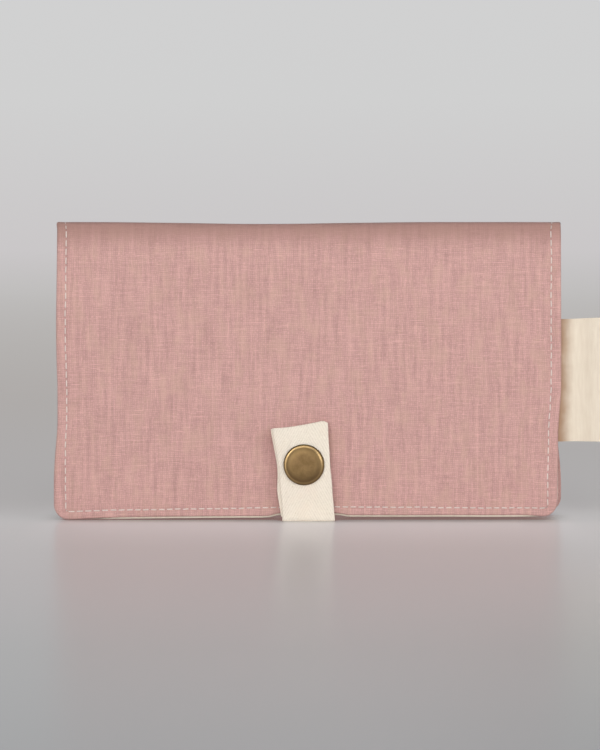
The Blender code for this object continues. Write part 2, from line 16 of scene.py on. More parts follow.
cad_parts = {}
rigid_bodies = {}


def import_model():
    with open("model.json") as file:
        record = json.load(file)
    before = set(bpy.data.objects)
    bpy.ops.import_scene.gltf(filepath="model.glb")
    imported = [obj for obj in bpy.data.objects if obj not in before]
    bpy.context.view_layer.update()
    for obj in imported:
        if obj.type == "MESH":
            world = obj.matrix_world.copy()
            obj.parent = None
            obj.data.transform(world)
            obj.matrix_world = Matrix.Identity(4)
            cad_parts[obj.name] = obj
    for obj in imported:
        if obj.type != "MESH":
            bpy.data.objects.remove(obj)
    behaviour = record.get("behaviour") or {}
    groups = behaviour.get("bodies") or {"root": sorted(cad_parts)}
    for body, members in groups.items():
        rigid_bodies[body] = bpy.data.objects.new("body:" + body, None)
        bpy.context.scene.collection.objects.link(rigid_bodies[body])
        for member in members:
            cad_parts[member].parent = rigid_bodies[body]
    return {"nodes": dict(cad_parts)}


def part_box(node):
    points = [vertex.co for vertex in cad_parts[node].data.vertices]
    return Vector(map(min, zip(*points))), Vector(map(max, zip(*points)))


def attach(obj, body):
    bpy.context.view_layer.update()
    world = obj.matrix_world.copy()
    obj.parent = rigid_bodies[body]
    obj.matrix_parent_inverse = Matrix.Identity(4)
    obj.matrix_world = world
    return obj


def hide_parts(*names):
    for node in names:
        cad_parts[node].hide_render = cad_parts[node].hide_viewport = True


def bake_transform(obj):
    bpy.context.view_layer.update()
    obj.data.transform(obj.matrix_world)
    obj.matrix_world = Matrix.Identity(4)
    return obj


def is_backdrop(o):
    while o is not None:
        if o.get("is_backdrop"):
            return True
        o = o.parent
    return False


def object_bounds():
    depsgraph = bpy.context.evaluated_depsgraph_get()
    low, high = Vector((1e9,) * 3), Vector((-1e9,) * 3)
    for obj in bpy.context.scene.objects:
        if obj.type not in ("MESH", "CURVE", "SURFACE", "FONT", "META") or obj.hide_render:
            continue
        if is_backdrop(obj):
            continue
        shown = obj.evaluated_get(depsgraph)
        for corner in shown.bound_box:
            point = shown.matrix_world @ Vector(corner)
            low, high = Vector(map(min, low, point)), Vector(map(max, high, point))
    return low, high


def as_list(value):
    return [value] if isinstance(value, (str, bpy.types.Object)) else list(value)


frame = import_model()
cad_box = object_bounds()

MM = 0.001
BACK = -1
FRONT = 1
SIDES = ((FRONT, "front"), (BACK, "back"))

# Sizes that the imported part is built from
COVER_WIDTH = 0.210
COVER_HEIGHT = 0.124
FOLD_WIDTH = 0.008
FOOT_DEPTH = 0.018
FOLD_RADIUS = 0.0035
RIM_DEPTH = 0.0021
BOARD_NEAR = 0.0012
BOARD_FAR = 0.0020
BOARD_INSET = 0.0065
LINING_NEAR = 0.0024
LINING_FAR = 0.0030
POCKET_NEAR = 0.0033
POCKET_FAR = 0.0039
CARD_NEAR = 0.0042
CARD_FAR = 0.0048
POCKET_INSET = 0.0015
PASSPORT_POCKET_HEIGHT = 0.092
TICKET_POCKET_HEIGHT = 0.100
CARD_POCKET_HEIGHT = 0.055
SEAM_INSET = 0.0035
STITCH_PITCH = 0.0033
TAPE_WIDTH = 0.0225
TAPE_THICKNESS = 0.00065
STRAP_RADIUS = 0.0008
FLAP_HEIGHT = 0.0395
FLAP_LEAN = math.radians(4.8)
SNAP_HEIGHT = 0.0234
CAP_RADIUS = 0.0085
LABEL_HEIGHT = 0.0505

TILT = math.atan((FOOT_DEPTH - FOLD_WIDTH) / 2 / COVER_HEIGHT)
PANEL_LENGTH = COVER_HEIGHT / math.cos(TILT)
HALF_WIDTH = COVER_WIDTH / 2
BEND = math.pi / 2 - TILT
BEND_REACH = FOLD_RADIUS * math.tan(BEND / 2)
FLAT_TOP = FOLD_WIDTH / 2 - BEND_REACH
BEND_RUN = FOLD_RADIUS * BEND
U_PANEL = FLAT_TOP + BEND_RUN
U_FOOT = U_PANEL + PANEL_LENGTH - BEND_REACH

# Lower edge: its height off the floor, and the lining that shows under it
LEFT_RISE = 0.0009
RIGHT_RISE = 0.00125
FOOT_WAVES = (0.0002, 0.030, 2.2)
ARCH_RISE = 0.0020
HOOK_START = 0.0118
HOOK_END = 0.0175
LINING_SHOWS = 0.0007
LINING_ROLL = 0.0016
BARE_LEFT_SHARES = (0.70, 0.97)
BARE_RIGHT_SHARES = (0.86, 0.96)

# Side edges as (bulge, share of the height that it takes, shift at the foot, shares where that sets in)
EDGE_SHAPES = {
    (FRONT, False): (-0.0005, 0.55, -0.0016, 0.72, 0.97),
    (FRONT, True): (0.0003, 1.0, -0.0011, 0.55, 0.80),
    (BACK, False): (-0.0004, 1.0, 0.0, 0.80, 0.98),
    (BACK, True): (0.0, 1.0, 0.0018, 0.80, 0.98),
}
EDGE_SHARE = 0.70
INNER_FOLLOWS = 0.25
LEFT_EDGE_IN = 0.0004
BACK_EDGE_OUT = 0.0002

# Waves of the cloth as (height, span, seed), its sag along the fold, and the soft crease beside the fold
CLOTH_WAVES = (0.00030, 0.060, 3.1)
RIPPLES = (0.00010, 0.019, 5.1)
FLAT_SHARE = 0.35
EASE_RUN = 0.008
SAG = (0.00085, 0.045)
SAG_X = -0.019
CREASE = (0.00095, 0.0042)
CREASE_SHARE = 0.6
CREASE_X = -0.012
CREASE_ENDS = (0.030, 0.065)
CREASE_END_SHARE = 0.85
OFF_FLOOR = 0.00005

# Seams: their place, the groove and puckers that they draw and the roll outside them, as (height, width)
SEAM_EXTRA = 0.0007
LEFT_SEAM_EXTRA = 0.0004
LEFT_SEAM_LOW = 0.0011
LEFT_SEAM_TURNS = (0.036, 0.012)
FOOT_SEAM_EXTRA = 0.0007
SEAM_WANDER = (0.0003, 0.021)
SEAM_TURN = 0.0006
FAR_AWAY = 1.0
GROOVE = (0.00022, 0.0008)
PUCKER = (0.00010, 0.0016)
ROLL = (0.00020, 0.0011)
ROLL_INSET = 0.0014
SEAM_EASE_RUN = 0.004
SEAM_SHARE_ON_FOLD = 0.25

# Cut and grid of each cloth: how round its edge is, its turned-in rim, and (fine, coarse) grid steps
CLOTH_CORNER = 0.0064
SMALLEST_CORNER = 0.0012
FINE_BAND = 0.009
HEM_AT_FOLD = 0.25
HEM_GROWS = 0.012
BEND_ROWS = 16
BEND_CLEAR = 1.02
FACE_EDGE_STEPS = 5
BACK_EDGE_STEPS = 4
OUTER_EDGE = 0.0007
OUTER_RIM = 0.006
OUTER_GRID = (0.00045, 0.0014)
LINING_EDGE = 0.00028
LINING_RIM = 0.004
LINING_GRID = (0.0003, 0.0026)
BOARD_EDGE = 0.0003
BOARD_GRID = (0.002, 0.005)
POCKET_GRID = (0.0009, 0.0028)


def smoothstep(value, low, high):
    share = min(max((value - low) / (high - low), 0.0), 1.0)
    return share * share * (3 - 2 * share)


def grown(least, share):
    """Grows from the least value to 1 while share goes from 0 to 1."""
    return least + (1 - least) * share


def hill(distance, height, width):
    return height * math.exp(-((distance / width) ** 2))


def spread(low, high, count):
    return [low + (high - low) * i / (count - 1) for i in range(count)]


def turns(count):
    return [2 * math.pi * i / count for i in range(count)]


def wave(x, u, height, span, seed):
    return height * noise.noise(Vector((x / span, u / span, seed)))


# Cloth shape


def profile(u, depth=0.0):
    """Point (y, z) and outward normal (y, z) of the cloth's cross-section at u, at a depth inside."""
    side = FRONT if u >= 0 else BACK
    run = abs(u)
    if run <= FLAT_TOP:
        y, z, ny, nz = -run, COVER_HEIGHT, 0.0, 1.0
    elif run <= U_PANEL:
        angle = (run - FLAT_TOP) / FOLD_RADIUS
        ny, nz = -math.sin(angle), math.cos(angle)
        y = -FLAT_TOP + FOLD_RADIUS * ny
        z = COVER_HEIGHT - FOLD_RADIUS + FOLD_RADIUS * nz
    else:
        along = run - U_PANEL + BEND_REACH
        ny, nz = -math.cos(TILT), math.sin(TILT)
        y = -FOLD_WIDTH / 2 - along * math.sin(TILT)
        z = COVER_HEIGHT - along * math.cos(TILT)
    return side * (y - depth * ny), z - depth * nz, side * ny, nz


def face_axes(face):
    """Directions up and out of the front or the back of the cover."""
    up = Vector((0, face * math.sin(TILT), math.cos(TILT)))
    return up, Vector((0, -face * math.cos(TILT), math.sin(TILT)))


def foot_sag(x):
    """How far the lower edge hangs off the floor: the strap tips the cover onto its left corners."""
    left = LEFT_RISE * math.cos(math.pi / 2 * min(abs(x) / HALF_WIDTH, 1.0))
    right = RIGHT_RISE + wave(x, 0.0, *FOOT_WAVES)
    return left + (right - left) * smoothstep(x, -TAPE_WIDTH / 2, TAPE_WIDTH / 2)


def foot_rise(x):
    """How far the lower edge lifts off the floor, highest where it lies on the strap."""
    over = 1 - smoothstep(abs(x), HOOK_START, HOOK_END)
    return foot_sag(x) + (ARCH_RISE - foot_sag(x)) * over


def foot_edge(x):
    return U_FOOT - foot_rise(x)


def bare_lining(x):
    """How much of the lining's foot edge shows below the outer cloth."""
    low, high = BARE_RIGHT_SHARES if x > 0 else BARE_LEFT_SHARES
    return LINING_SHOWS * (1 - smoothstep(abs(x), HALF_WIDTH * low, HALF_WIDTH * high))


def side_shift(x, u, side):
    """How far hand sewing moved the cloth's side edges out of line."""
    height = smoothstep(abs(u), U_PANEL, U_FOOT)
    bulge, taken, shift, low, high = EDGE_SHAPES[side, x >= 0]
    moved = bulge * math.sin(math.pi * min(height / taken, 1.0)) + shift * smoothstep(height, low, high)
    if side == FRONT and x < 0:
        moved += LEFT_EDGE_IN * smoothstep(abs(u), 0.0, U_PANEL)
    if side == BACK and x >= 0:
        moved += BACK_EDGE_OUT
    return moved * smoothstep(abs(x), HALF_WIDTH * EDGE_SHARE, HALF_WIDTH)


def swell(x, u, side):
    """Gentle waves of the cloth over the stiffener, outwards, and the sag along the fold."""
    rise = wave(x, side * u, *CLOTH_WAVES) + wave(x, side * u, *RIPPLES)
    panel = smoothstep(abs(u), FLAT_TOP, U_PANEL + EASE_RUN)
    sag = hill(x - SAG_X, *SAG) * (1 - panel)
    crease = hill(abs(u) - FLAT_TOP - BEND_RUN * CREASE_SHARE, *CREASE)
    end = smoothstep(abs(x - CREASE_X), *CREASE_ENDS) * (1 - smoothstep(abs(u), 0.0, U_PANEL))
    crease *= 1 - CREASE_END_SHARE * end
    return rise * grown(FLAT_SHARE, panel) - max(sag, crease)


def seam_inset(x, u):
    """How far in the side seams run. The left one keeps its line where the edge bulges."""
    extra = SEAM_EXTRA if x > 0 else LEFT_SEAM_EXTRA
    extra *= smoothstep(abs(u), 0.0, U_PANEL)
    if x < 0:
        extra += LEFT_SEAM_LOW * smoothstep(abs(u), *(U_FOOT - turn for turn in LEFT_SEAM_TURNS))
    return SEAM_INSET + extra + wave(x, u, *SEAM_WANDER, 6.3)


def seam_foot(x):
    """Where the foot seam runs: further in towards the strap, wandering a little."""
    extra = FOOT_SEAM_EXTRA * (1 - smoothstep(abs(x), 0.0, HALF_WIDTH))
    return U_FOOT - foot_sag(x) - SEAM_INSET - extra - wave(x, 0.0, *SEAM_WANDER, 8.3)


def seam_gap(x, u):
    """Distance from the side and foot seam lines of a panel, which end where they meet."""
    gaps = []
    if abs(u) <= seam_foot(x):
        gaps.append(abs(abs(x) - (HALF_WIDTH - seam_inset(x, u))))
    if abs(x) <= HALF_WIDTH - SEAM_INSET:
        gaps.append(abs(abs(u) - seam_foot(x)))
    return min(gaps, default=FAR_AWAY)


def outer_rise(x, u, side):
    """Height of the outer cloth above the panel's face: waves, and the groove of the seam."""
    gap = seam_gap(x, u)
    pull = 0.5 + 0.5 * math.cos(2 * math.pi * (x + abs(u)) / STITCH_PITCH)
    drawn = hill(gap, *GROOVE) + pull * hill(gap, *PUCKER)
    edge = min(HALF_WIDTH - abs(x), foot_edge(x) - abs(u))
    roll = hill(edge - ROLL_INSET, *ROLL)
    share = grown(SEAM_SHARE_ON_FOLD, smoothstep(abs(u), FLAT_TOP, U_PANEL + SEAM_EASE_RUN))
    return swell(x, u, side) + (roll - drawn) * share


def cloth_point(x, u, depth, side, rise=0.0):
    """Point of a cloth at a depth inside the outer face. Inner cloths follow a bulging edge less."""
    y, z, _, _ = profile(u if side == FRONT else -u, depth - rise)
    shift = side_shift(x, u, side)
    if shift * x > 0:
        shift *= grown(INNER_FOLLOWS, 1 - smoothstep(depth, RIM_DEPTH, LINING_NEAR))
    return Vector((x + shift, y, max(z, OFF_FLOOR)))


def rounded(px, py):
    """Maps a corner square onto a quarter of a disc."""
    return px * math.sqrt(1 - py * py / 2), py * math.sqrt(1 - px * px / 2)


# Meshes: a corner is (vertex, texture place across, texture place along)


def new_mesh():
    mesh = bmesh.new()
    return mesh, mesh.loops.layers.uv.new("cloth")


def skin(mesh, uv, corners):
    """A face over corners, which also lays the texture where there is one."""
    face = mesh.faces.new([corner[0] for corner in corners])
    if uv is not None:
        for loop, corner in zip(face.loops, corners):
            loop[uv].uv = corner[1:]


def skin_rows(mesh, uv, rows, closed):
    """Faces between neighbouring rows of corners. Closed rows join their last corner to their first."""
    for low, high in zip(rows, rows[1:]):
        for j in range(len(low) if closed else len(low) - 1):
            k = (j + 1) % len(low)
            skin(mesh, uv, (low[j], low[k], high[k], high[j]))


def add_object(name, data):
    made = bpy.data.objects.new(name, data)
    bpy.context.scene.collection.objects.link(made)
    return made


def finish_mesh(name, mesh, smooth=True):
    data = bpy.data.meshes.new(name)
    mesh.to_mesh(data)
    mesh.free()
    if smooth:
        data.shade_smooth()
    return add_object(name, data)


def finish_solid(name, mesh, crisp=None):
    """Turns the faces outwards, and keeps edges crisp from an angle in degrees."""
    bmesh.ops.recalc_face_normals(mesh, faces=mesh.faces)
    made = finish_mesh(name, mesh)
    if crisp:
        made.data.set_sharp_from_angle(angle=math.radians(crisp))
    return made


def paint(piece, material, slot):
    piece.data.materials.clear()
    piece.data.materials.append(material)


def close_shares(length, fine, coarse, both):
    """Shares along a line, close together near its far end, or near both ends."""
    near = [fine * i / length for i in range(int(FINE_BAND / fine))]
    low = near[-1] + fine / length
    steps = int(length * (1 - (2 if both else 1) * low) / coarse)
    far = [1 - share for share in reversed(near)]
    if both:
        return near + spread(low, 1 - low, steps) + far
    return spread(0, 1 - low, steps) + far


Plan = namedtuple("Plan", "name side face back inset edge start rise rim lifted", defaults=(False,))


class Cloth(Plan):
    """A panel-shaped cloth: a grid of points, a rounded edge, and a turned-in rim behind it.

    face and back are the depths of its two faces, inset is how far in it lies, edge how round its edge is,
    start the u of its top, or 0 where it goes up to the fold's middle, rise(x, u, side) its height over
    the plain depth, and rim how far in it is turned. A lifted cloth leaves the lining's foot edge bare.
    """

    def place(self, x, u, depth):
        return cloth_point(x, u, depth, self.side, self.rise(x, u, self.side))

    def outline(self, a, v, inset):
        """(x, u) of grid share a across, from -1 to 1, and v down, from 0 to 1."""
        half = HALF_WIDTH - inset
        x = a * half
        top = self.start + (inset - self.inset if self.start else 0)
        foot = foot_edge(x) - inset - (bare_lining(x) if self.lifted else 0.0)
        u = top + v * (foot - top)
        radius = max(CLOTH_CORNER - inset, SMALLEST_CORNER)
        px = (abs(x) - half + radius) / radius
        py = (u - foot + radius) / radius
        if px > 0 and py > 0:
            px, py = rounded(min(px, 1.0), min(py, 1.0))
            x = math.copysign(half - radius + px * radius, x)
            u = foot - radius + py * radius
        return x, u

    def rim_share(self, u):
        """The turned-in rim is narrow beside the fold, where the cloth has to bend."""
        if self.start:
            return 1.0
        return grown(HEM_AT_FOLD, smoothstep(abs(u), U_PANEL, U_PANEL + HEM_GROWS))

    def rim_steps(self):
        """(inset, depth) of each step round the edge and along the rim behind it."""
        thick = abs(self.back - self.face)
        radius = min(self.edge, thick / 2)
        steps = []
        for angle in spread(0, math.pi / 2, FACE_EDGE_STEPS)[1:]:
            steps.append((self.edge * (1 - math.sin(angle)), radius * (1 - math.cos(angle))))
        steps.append((0.0, thick - radius))
        for angle in spread(0, math.pi / 2, BACK_EDGE_STEPS)[1:]:
            steps.append((radius * (1 - math.cos(angle)), thick - radius * (1 - math.sin(angle))))
        return steps + [(self.rim, thick)]

    def build(self, fine, coarse):
        mesh, uv = new_mesh()

        def corner(point, depth, x, u):
            return mesh.verts.new(self.place(*point, depth)), x / MM, self.side * u / MM

        columns = [2 * share - 1 for share in close_shares(COVER_WIDTH, fine, coarse, True)]
        closed = bool(self.start)
        rows = close_shares(U_FOOT - self.start, fine, coarse, closed)
        if not closed:
            bend = U_PANEL / U_FOOT
            rows = [row for row in rows if row > bend * BEND_CLEAR]
            rows = [bend * i / BEND_ROWS for i in range(BEND_ROWS)] + rows
        points = [[self.outline(a, v, self.inset + self.edge) for a in columns] for v in rows]
        grid = [[corner(point, self.face, *point) for point in line] for line in points]
        shares = [(1.0, v) for v in rows] + [(a, 1.0) for a in reversed(columns[:-1])]
        shares += [(-1.0, v) for v in reversed(rows[:-1])]
        rim, bases = [], []
        for table, edge in ((grid, rim), (points, bases)):
            edge += [line[-1] for line in table] + list(reversed(table[-1][:-1]))
            edge += [line[0] for line in reversed(table[:-1])]
            if closed:
                edge += table[0][1:-1]
        if closed:
            shares += [(a, 0.0) for a in columns[1:-1]]
        inward = 1 if self.back > self.face else -1
        rings = [rim]
        for inset, deeper in self.rim_steps():
            ring = []
            for (a, v), (base_x, base_u) in zip(shares, bases):
                kept = self.rim_share(base_u) if inset == self.rim else 1.0
                x, u = self.outline(a, v, self.inset + inset * kept)
                span = math.hypot(x - base_x, u - base_u)
                stretch = (span + deeper) / (span or 1.0)
                laid = (base_x + (x - base_x) * stretch, base_u + (u - base_u) * stretch)
                ring.append(corner((x, u), self.face + inward * deeper, *laid))
            rings.append(ring)
        skin_rows(mesh, uv, rings, closed)
        skin_rows(mesh, uv, grid, False)
        bmesh.ops.recalc_face_normals(mesh, faces=mesh.faces)
        middle = grid[len(grid) // 2][len(columns) // 2][0]
        if middle.link_faces[0].normal.y * self.side * inward > 0:
            bmesh.ops.reverse_faces(mesh, faces=mesh.faces)
        return finish_mesh(self.name, mesh)


# Shader building


class Shader:
    """Short calls that add nodes to one material and join them."""

    def __init__(self, name):
        self.material = bpy.data.materials.new(name)
        self.material.use_nodes = True
        self.nodes = self.material.node_tree.nodes
        self.links = self.material.node_tree.links
        self.bsdf = self.nodes["Principled BSDF"]

    def join(self, value, socket):
        if isinstance(value, bpy.types.NodeSocket):
            self.links.new(value, socket)
        elif isinstance(value, tuple) and len(value) == 3 and len(socket.default_value) == 4:
            socket.default_value = (*value, 1.0)
        else:
            socket.default_value = value

    def node(self, kind, *values, **settings):
        """A node with its settings, whose first inputs take the values."""
        made = self.nodes.new("ShaderNode" + kind)
        for name, setting in settings.items():
            setattr(made, name, setting)
        for value, socket in zip(values, made.inputs):
            self.join(value, socket)
        return made

    def math(self, operation, *values):
        return self.node("Math", *values, operation=operation).outputs[0]

    def times(self, a, b):
        return self.math("MULTIPLY", a, b)

    def total(self, start, *parts):
        """start and each part times its weight, added up."""
        for part, weight in parts:
            start = self.math("MULTIPLY_ADD", part, weight, start)
        return start

    def ridges(self, value, pitch=1.0):
        """Round ridges, one for each pitch along value."""
        return self.math("ABSOLUTE", self.math("SINE", self.times(value, math.pi / pitch)))

    def mix(self, factor, a, b, mode="MIX"):
        """Mixes two colours. A mix node has inputs for numbers and vectors before those for colours."""
        node = self.node("Mix", factor, data_type="RGBA", blend_type=mode)
        self.join(a, node.inputs[6])
        self.join(b, node.inputs[7])
        return node.outputs[2]

    def mix_value(self, factor, a, b):
        rest = self.times(self.math("SUBTRACT", 1.0, factor), a)
        return self.total(rest, (factor, b))

    def split(self, socket):
        return self.node("SeparateXYZ", socket).outputs

    def uv(self):
        """Texture place across and along the cloth."""
        return self.split(self.node("UVMap", uv_map="cloth").outputs[0])[:2]

    def place(self):
        """Place in space as three sockets, in metres."""
        return self.split(self.node("TexCoord").outputs["Object"])

    def noise(self, x, y, z=0.0, scale=1.0, detail=2.0, rough=0.5):
        node = self.node("TexNoise", self.node("CombineXYZ", x, y, z).outputs[0])
        for name, value in (("Scale", scale), ("Detail", detail), ("Roughness", rough)):
            node.inputs[name].default_value = value
        return node.outputs["Fac"]

    def streaks(self, x, y, across, along, seed, detail, rough=0.5):
        """Noise that is drawn out where across or along, its marks per millimetre, is small."""
        return self.noise(self.times(x, across), self.times(y, along), seed, 1.0, detail, rough)

    def band(self, value, low, high, start=0.0, end=1.0):
        """Eases from start to end while value goes from low to high."""
        values = (value, low, high, start, end)
        return self.node("MapRange", *values, interpolation_type="SMOOTHSTEP").outputs[0]

    def tint(self, colour, share, strength, other):
        return self.mix(self.times(share, strength), colour, other)

    def bump(self, height, strength, distance):
        node = self.node("Bump")
        node.inputs["Strength"].default_value = strength
        node.inputs["Distance"].default_value = distance
        self.links.new(height, node.inputs["Height"])
        self.links.new(node.outputs[0], self.bsdf.inputs["Normal"])

    def surface(self, colour, roughness, **values):
        self.join(colour, self.bsdf.inputs["Base Color"])
        self.join(roughness, self.bsdf.inputs["Roughness"])
        for name, value in values.items():
            self.bsdf.inputs[name.replace("_", " ")].default_value = value
        return self.material


# Colours, pitches in millimetres, and bands as (from, to, share at first, share at last)
FOLD_PAINTED_SHADE = (0.333, 0.186, 0.156)
FOLD_PAINTED_SHADE_ENDS = (4.0, 16.0)
TAPE_SPECKS = (0.48, 0.30, 0.16)
TAPE_CLOUDS = (0.86, 0.73, 0.60)
RIB_PITCH = 1.10
ROW_PITCH = 0.52
RIBBON_DARK = (0.738, 0.640, 0.517)
RIBBON_PALE = (0.820, 0.734, 0.607)
RIBBON_SEAM_PAINTED_SHADE = (0.355, 0.210, 0.125)
RIBBON_SPECKS = (0.55, 0.34, 0.22)
RIBBON_PITCHES = (0.30, 0.34)
SEAM_PAINTED_SHADE_BAND = (0.5, 8.0, 1.0, 0.0)
HOLE_PAINTED_SHADE = (0.17, 0.115, 0.095)
HOLE_PAINTED_SHADE_BAND = (0.12, 0.42, 0.90, 0.0)
TWIST_PITCH = 0.42
BRASS_DARK = (0.097, 0.060, 0.025)
BRASS_PALE = (0.170, 0.110, 0.052)
BRASS_OUTER_FACE = (0.225, 0.148, 0.068)
BRASS_PAINTED_HIGHLIGHT = (0.50, 0.345, 0.165)
BRASS_RIM_SHADE = (0.045, 0.026, 0.011)
OUTER_FACE_BAND = (3.6, 7.2, 0.0, 0.65)
HIGHLIGHT_BAND = (6.9, 7.5)
HIGHLIGHT_END = (7.65, 7.95, 1.0, 0.0)
RIM_SHADE_BAND = (7.85, 8.25, 0.0, 0.85)
HIGHLIGHT_HEIGHTS = (-0.55, 0.75)
FELT_DARK = (0.66, 0.65, 0.62)
FELT_PALE = (0.84, 0.83, 0.80)
WOVEN_BUMP = 0.00012
TAPE_BUMP = 0.00020
THREAD_BUMP = 0.00008
BRASS_BUMP = 0.0004
FELT_BUMP = 0.0003


def woven(name, pale, dark, pitch, slub, patch, tint, fold_shade=0.0):
    """Plain weave of uneven threads: a tone for each thread, slubs, cloudy patches of tint, and painted
    shade along the fold where fold_shade is given.
    """
    s = Shader(name)
    x, y = s.uv()
    warp = s.math("DIVIDE", s.total(x, (s.noise(x, y, 0.0, 0.12), pitch * 3)), pitch)
    weft = s.math("DIVIDE", s.total(y, (s.noise(y, x, 4.0, 0.12), pitch * 3)), pitch)
    warp_id = s.math("FLOOR", warp)
    weft_id = s.math("FLOOR", weft)
    warp_round = s.ridges(warp)
    weft_round = s.ridges(weft)
    over = s.math("MODULO", s.math("ABSOLUTE", s.math("ADD", warp_id, weft_id)), 2.0)
    warp_tone = s.noise(warp_id, s.times(y, 0.22), 0.0, 0.9)
    weft_tone = s.noise(s.times(x, 0.22), weft_id, 9.0, 0.9)
    thread = s.mix_value(over, weft_tone, warp_tone)
    mottle = s.noise(x, y, 13.0, 1.6, 2.0, 0.6)
    streak = s.streaks(x, y, 0.62, 0.050, 2.0, 3.0)
    cross = s.streaks(x, y, 0.075, 0.95, 5.0, 3.0)
    gap = s.times(warp_round, weft_round)
    long_slub = s.band(s.streaks(x, y, 0.12, 2.3, 7.0, 1.0), 0.66, 0.74)
    tall_slub = s.band(s.streaks(x, y, 2.3, 0.14, 8.0, 1.0), 0.70, 0.77)
    tone = s.total(-0.02, (thread, 0.34), (mottle, 0.22), (streak, 0.44), (cross, 0.20), (gap, 0.15))
    tone = s.total(tone, (long_slub, slub), (tall_slub, slub * 0.6))
    colour = s.mix(s.band(tone, 0.22, 1.0), dark, pale)
    cloud = s.band(s.streaks(x, y, 0.16, 0.08, 11.0, 4.0, 0.6), 0.45, 0.66)
    colour = s.tint(colour, cloud, patch, tint)
    # Painted shade: the cloth is darker along the fold, where its rounded top gets less light.
    if fold_shade:
        fold_shade_mask = s.band(s.math("ABSOLUTE", y), *FOLD_PAINTED_SHADE_ENDS, fold_shade, 0.0)
        colour = s.mix(fold_shade_mask, colour, FOLD_PAINTED_SHADE)
    halves = ((part, 0.5) for part in (warp_round, weft_round, thread, long_slub))
    s.bump(s.total(0.0, *halves, (mottle, 0.6)), 0.5, WOVEN_BUMP)
    return s.surface(colour, s.total(0.82, (thread, 0.12)), Sheen_Weight=0.15, Sheen_Roughness=0.5)


def herringbone(name, pale, dark):
    """Cotton tape with slanting ribs that meet in the middle."""
    s = Shader(name)
    x, y = s.uv()
    wobble = s.times(s.noise(x, y, 0.0, 0.5), 0.5)
    slant = s.math("ADD", s.total(s.math("ABSOLUTE", x), (y, 0.55)), wobble)
    row = s.ridges(y, ROW_PITCH)
    knob = s.times(s.ridges(s.math("DIVIDE", slant, RIB_PITCH)), s.total(0.5, (row, 0.5)))
    tone = s.total(0.0, (s.noise(x, y, 3.0, 1.0, 4.0, 0.65), 0.80), (knob, 0.36))
    colour = s.mix(s.band(tone, 0.15, 0.75), dark, pale)
    colour = s.tint(colour, s.band(s.noise(x, y, 6.0, 1.1, 1.0), 0.76, 0.80), 0.45, TAPE_SPECKS)
    colour = s.tint(colour, s.band(s.noise(x, y, 12.0, 0.12), 0.45, 0.7), 0.25, TAPE_CLOUDS)
    s.bump(s.total(knob, (s.noise(x, y, 1.0, 3.0), 0.4)), 0.5, TAPE_BUMP)
    return s.surface(colour, 0.92, Sheen_Weight=0.2, Sheen_Roughness=0.5)


def ribbon_cloth(name):
    """Smooth cotton ribbon with painted shade and a warm painted bounce of light where it leaves the seam,
    and a few stray specks.
    """
    s = Shader(name)
    x, y = s.uv()
    weave = s.times(s.ridges(x, RIBBON_PITCHES[0]), s.ridges(y, RIBBON_PITCHES[1]))
    tone = s.total(0.0, (s.streaks(x, y, 0.9, 0.12, 2.0, 3.0), 0.8), (weave, 0.25))
    colour = s.mix(s.band(tone, 0.2, 0.85), RIBBON_DARK, RIBBON_PALE)
    # Painted shade and warm painted bounce light, strongest at the seam and fading over the first 8 mm.
    edge = s.total(x, (s.noise(x, y, 5.0, 0.16), 3.5))
    colour = s.tint(colour, s.band(edge, *SEAM_PAINTED_SHADE_BAND), 0.96, RIBBON_SEAM_PAINTED_SHADE)
    colour = s.tint(colour, s.band(s.noise(x, y, 9.0, 0.9, 1.0), 0.79, 0.82), 0.4, RIBBON_SPECKS)
    s.bump(weave, 0.35, THREAD_BUMP)
    return s.surface(colour, 0.8, Sheen_Weight=0.15, Sheen_Roughness=0.4)


def sewing_thread(name, pale, dark):
    """Two-ply thread: its twist shows as slanting ridges, and its ends, where it goes down into the needle
    holes, are painted dark as shade.
    """
    s = Shader(name)
    x, y = s.uv()
    ridge = s.ridges(s.total(y, (x, 1.4)), TWIST_PITCH)
    tone = s.total(0.0, (s.noise(x, y, 0.0, 1.3), 0.5), (ridge, 0.55))
    colour = s.mix(s.band(tone, 0.1, 0.9), dark, pale)
    # Painted shade: the thread darkens towards each end, as shade in the needle holes.
    colour = s.mix(s.band(x, *HOLE_PAINTED_SHADE_BAND), colour, HOLE_PAINTED_SHADE)
    s.bump(ridge, 0.6, THREAD_BUMP)
    return s.surface(colour, 0.7, Sheen_Weight=0.2, Sheen_Roughness=0.4)


